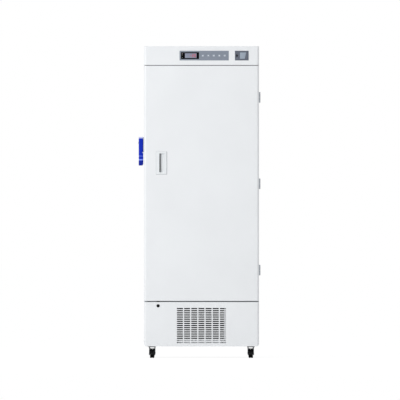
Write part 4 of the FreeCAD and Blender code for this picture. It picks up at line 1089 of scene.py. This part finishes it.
def make_compressor():
    """A welded two-part shell on a pressed foot plate with rubber feet."""
    x, y, r = compressor_x, compressor_y, compressor_radius
    shape = Shape()
    shape.turned((x, y, foot_plate_top), (0, 0, 1), (
        (0, r - 18), (3, r - 8), (10, r - 2), (20, r - 0.6), (96, r - 0.6), (97, r), (103, r), (104, r - 2.2),
        (150, r - 2.6), (165, r - 7), (176, r - 18), (184, r - 38), (188, r - 60), (189.5, r - 80),
    ), 56)
    loops = []
    for drop, inset in ((3, 0.8), (2.4, 0), (0.6, 0), (0, 0.8)):
        wide, deep = foot_plate_x - inset, foot_plate_y - inset
        loops.append(round_loop(x - wide, x + wide, y - deep, y + deep, foot_plate_top - drop, 14))
    shape.rings(loops)
    grommet = (
        (0, 9), (1, 10), (3, 10), (4, 8.6), (5.5, 8.6), (6.5, 10), (10, 10), (10, 6), (13, 6),
        (14.5, 8.6), (17, 8.6), (18, 7.4),
    )
    for sx in (-90, 90):
        for sy in (-60, 60):
            shape.turned((x + sx, y + sy, foot_plate_top - 13), (0, 0, 1), grommet, 28, 1)
    shape.block(x - 30, x + 30, y - r - 22, y - r + 13, 135, 180, 1, 4, 3)
    piece("compressor_shell", shape, "black_paint", ("black_paint", "black_plastic"), ["compressor"])


def make_condenser():
    """Thin fins on three rows of tube between two end plates."""
    shape = Shape()
    x0, x1 = coil_x - coil_width / 2, coil_x + coil_width / 2
    y0, y1 = coil_setback, coil_y1
    plate, flange = 1.5, 14
    for outer, sign in ((x0, -1), (x1, 1)):
        a, b = sorted((outer, outer - sign * plate))
        shape.block(a, b, y0, y1, coil_low, coil_top, 1, 0.3)
        a, b = sorted((outer, outer + sign * flange))
        shape.block(a, b, y0, y0 + plate, coil_low, coil_top, 1, 0.3)
    low, high = coil_mid_z - fin_reach, coil_mid_z + fin_reach
    for i in range(fin_count):
        x = x0 + 3 + (x1 - x0 - 6) * i / (fin_count - 1)
        shape.block(x - 0.2, x + 0.2, y0 + plate, y1 - plate, low, high)
    y = (y0 + y1) / 2
    rows = [coil_mid_z + coil_row_pitch * row for row in (-1, 0, 1)]
    for z in rows:
        shape.pipe([(x0, y, z), (x1, y, z)], tube_radius, 0, 14, 2)
    for x, sign, a, b in ((x1, 1, rows[0], rows[1]), (x0, -1, rows[1], rows[2])):
        out = x + sign * 41
        shape.pipe([(x, y, a), (out, y, a), (out, y, b), (x, y, b)], tube_radius, 34, 14, 2, 10)
    piece("condenser", shape, "coil_metal", ("coil_metal", "dark_paint", "dark_paint"), ["condenser_coil"])


def make_fan():
    """A domed hub with five twisted blades."""
    shape = Shape()
    hub_y = fan_y + (shroud_depth - 12) / 2
    hub = ((0.6, 4), (0, 8), (0.4, 13), (1.6, 16.6), (3.4, 18), (12, 18), (12, 3.1), (2.6, 3.06))
    shape.turned((coil_x, hub_y, coil_mid_z), (0, 1, 0), hub, 44)
    for k in range(blade_count):
        start = len(shape.bm.verts)
        loops = []
        for i in range(9):
            share = i / 8
            r = blade_root + (blade_tip - blade_root) * share
            tilt = math.radians(34 - 18 * share)
            chord = 11 + 11 * math.sin(math.pi * min(share + 0.22, 1) * 0.75)
            front, rear = [], []
            for j in range(7):
                w = (j / 6 - 0.5) * 2
                camber = 1.8 * (1 - w * w)
                u = w * chord
                across = u * math.cos(tilt) - camber * math.sin(tilt)
                along = u * math.sin(tilt) * 0.42 + camber * 0.6
                middle = hub_y + 6 + max(-6.6, min(6.6, along))
                front.append((coil_x + r, middle - 0.7, coil_mid_z + across))
                rear.append((coil_x + r, middle + 0.7, coil_mid_z + across))
            loops.append(front + rear[::-1])
        shape.rings(loops)
        shape.turn(start, (coil_x, 0, coil_mid_z), "Y", 360 / blade_count * k)
    piece("fan", shape, "black_plastic", replaces=["fan_blade"], body="fan_blade")


# Trim of the front, and screws


def make_pull_details():
    """A dark strip with ribs beside the finger lip, painted shade in the undercut, and a thin seal round the
    pull's plate that is widened on the right and below as a painted shadow line.
    """
    x0 = -half + pull_from_edge
    x1, high = x0 + pull_width, pull_height / 2
    lip = x0 + scoop_inset
    shape = Shape()
    rise, drop = scoop_height / 2 - 1.5, 2.6

    def bent(start, end, inner, outer, drop):
        """The outline of a strip that bends at the lip."""
        y0, y1 = scoop_depth + inner, scoop_depth - outer
        near, far = lip - start, lip + end
        return [(near, y0), (near, y1), (lip, y1), (far, y1 - drop), (far, y0 - drop), (lip, y0)]

    # The dark grey strip and its ribs are painted shade in the undercut behind the lip
    shape.prism(in_plan, pull_z - rise, pull_z + rise, bent(4, 7, 0.2, 1.4, drop), 0, 0.3)
    for k in range(-4, 5):
        z = pull_z + k * 12
        shape.prism(in_plan, z - 2.5, z + 2.5, bent(2.5, 6, -1.2, 2.1, drop * 0.8), 0, 0.3)
    piece("pull_pocket_shade", shape, "pull_plastic", ("pocket_shade_grey",), body="door")
    seal = Shape()
    loops = []
    for grow, y in ((-0.1, 0.2), (-0.1, -0.9), (0.1, -1.3), (0.7, -1.1), (1, -0.5), (1, 0.2)):
        # The seal is wider on the right and below, where its grey is a painted shadow line beside the plate
        wide = max(grow, 0) * 2.4 + min(grow, 0)
        z0, z1 = pull_z - high - wide * 0.7, pull_z + high + grow * 0.3
        loops.append(upright_loop(x0 - grow * 0.3, x1 + wide, z0, z1, y, 2.5))
    seal.rings(loops, closed=True)
    piece("pull_seal_shadow_line", seal, "pull_plastic", ("seam_shadow_grey",), body="door")


def make_air_baffle():
    """A folded pale sheet behind the grille's lowest rows and its right-hand end."""
    end, near, far = grille_right + 4, 17, 18.2
    sheet = far - near
    shape = Shape()
    shape.block(grille_left, end, near, far, grille_low, baffle_high, 0, 0.3)
    shape.block(grille_left, end, near, 32, grille_low, grille_low + sheet, 0, 0.3)
    shape.block(grille_left, end, near, 26, baffle_high - sheet, baffle_high, 0, 0.3)
    shape.block(baffle_edge, end, near, far, baffle_high, grille_high, 0, 0.3)
    shape.block(baffle_edge, baffle_edge + sheet, near, 26, baffle_high, grille_high, 0, 0.3)
    for x in (grille_left + 20, 0, grille_right - 8):
        shape.screw((x, near, grille_low + 6.5), (0, -1, 0), 2.6)
    piece("air_baffle", shape, "dark_paint", ("pale_sheet",))


def make_filter():
    """A pleated foam mat in a thin frame, between the grille and the condenser."""
    left, right, low, high = grille_left + 1, baffle_edge, baffle_high, grille_high + 1
    crest, valley, rear = 24, 30, 34
    pitch = (right - left) / pleat_count
    outline = []
    for k in range(pleat_count):
        x = left + k * pitch
        outline += [(x, valley), (x + pitch * 0.3, crest), (x + pitch * 0.7, crest)]
    outline += [(right, valley), (right, rear), (left, rear)]
    shape = Shape()
    shape.prism(in_plan, low, high, outline)
    for z in (low, high):
        shape.block(left, right, crest - 2, rear + 0.5, z - 1.5, z + 1.5, 1, 0.4)
    for x in (left, right):
        shape.block(x - 1.5, x + 1.5, crest - 2, rear + 0.5, low, high, 1, 0.4)
    piece("dust_filter", shape, "dark_paint", ("filter_foam", "black_plastic"))


def make_seam_details():
    """A dark strip in the seam under the header and a grey one in the seam on the sill, both painted shade in
    the seams, and the lock bolt's guard.
    """
    # The header strip's black is painted shade in the upper seam
    shape = Shape()
    loops = []
    for x, inset in ((-half + 5, 0.6), (-half + 6, 0), (half - 6, 0), (half - 5, 0.6)):
        y0, y1, low = 7 + inset, 15 - inset, header_low - 3.6 + inset
        loops.append([(x, y0, low), (x, y1, low), (x, y1, header_low), (x, y0, header_low)])
    shape.rings(loops)
    piece("header_seam_shade", shape, "white_paint", ("black_plastic",))
    # The sill strip's grey is painted shade in the lower seam
    sill = Shape()
    sill.block(-half + 5, half - 5, 20, 26, base_top, base_top + 4.5, 0, 0.6)
    piece("sill_seam_shade", sill, "white_paint", ("seam_shadow_grey",))
    guard = Shape()
    x = (bolt_low_x + bolt_high_x) / 2
    wide = (bolt_high_x - bolt_low_x) / 2
    outline = ((-wide, 0), (wide, 0), (wide, 4.4), (wide - 1.4, 5.6), (1.4 - wide, 5.6), (-wide, 4.4))
    guard.prism(in_front, 3, 9, [(x + u, base_top + v) for u, v in outline], 0, 0.4)
    piece("bolt_guard", guard, "zinc_metal", ("black_plastic",))


def make_panel_screws():
    """The screws of the back panel, the power inlet and the side panels."""
    rear = (0, 1, 0)
    edge_heights = (shell_low + 14, 420, 800, 1180, 1560, top - 22)
    places = [((x, back, z), rear, panel_screw) for z in edge_heights for x in (9 - half, half - 9)]
    ends = (shell_low + 9, top - 12)
    places += [((x, back, z), rear, panel_screw) for x in (-230, -80, 80, 230) for z in ends]
    places += [((inlet_x + reach, back + 1.3, inlet_z - 10.4), rear, 1.3) for reach in (-16.6, 16.6)]
    make_screws("back_screws", "cabinet", places)
    depths = (front_depth + 40, (front_depth + back) / 2, back - 40)
    make_screws("side_screws", "cabinet", [
        ((sign * half, y, shell_low + 16), (sign, 0, 0), panel_screw) for y in depths for sign in (-1, 1)
    ])


for number, (x, y) in enumerate(caster_places, 1):
    make_wheel(number, x, y)
    make_fork(number, x, y)
for number, (x, y) in enumerate(caster_places[:brake_count], 1):
    make_pedal(number, x, y)
for make in (
    make_mounts, make_lever, make_latch_screws, make_hinges, make_display, make_key_marks, make_label,
    make_shelves, make_pipes, make_gasket, make_compressor, make_condenser, make_fan, make_pull_details,
    make_air_baffle, make_filter, make_seam_details, make_panel_screws,
):
    make()
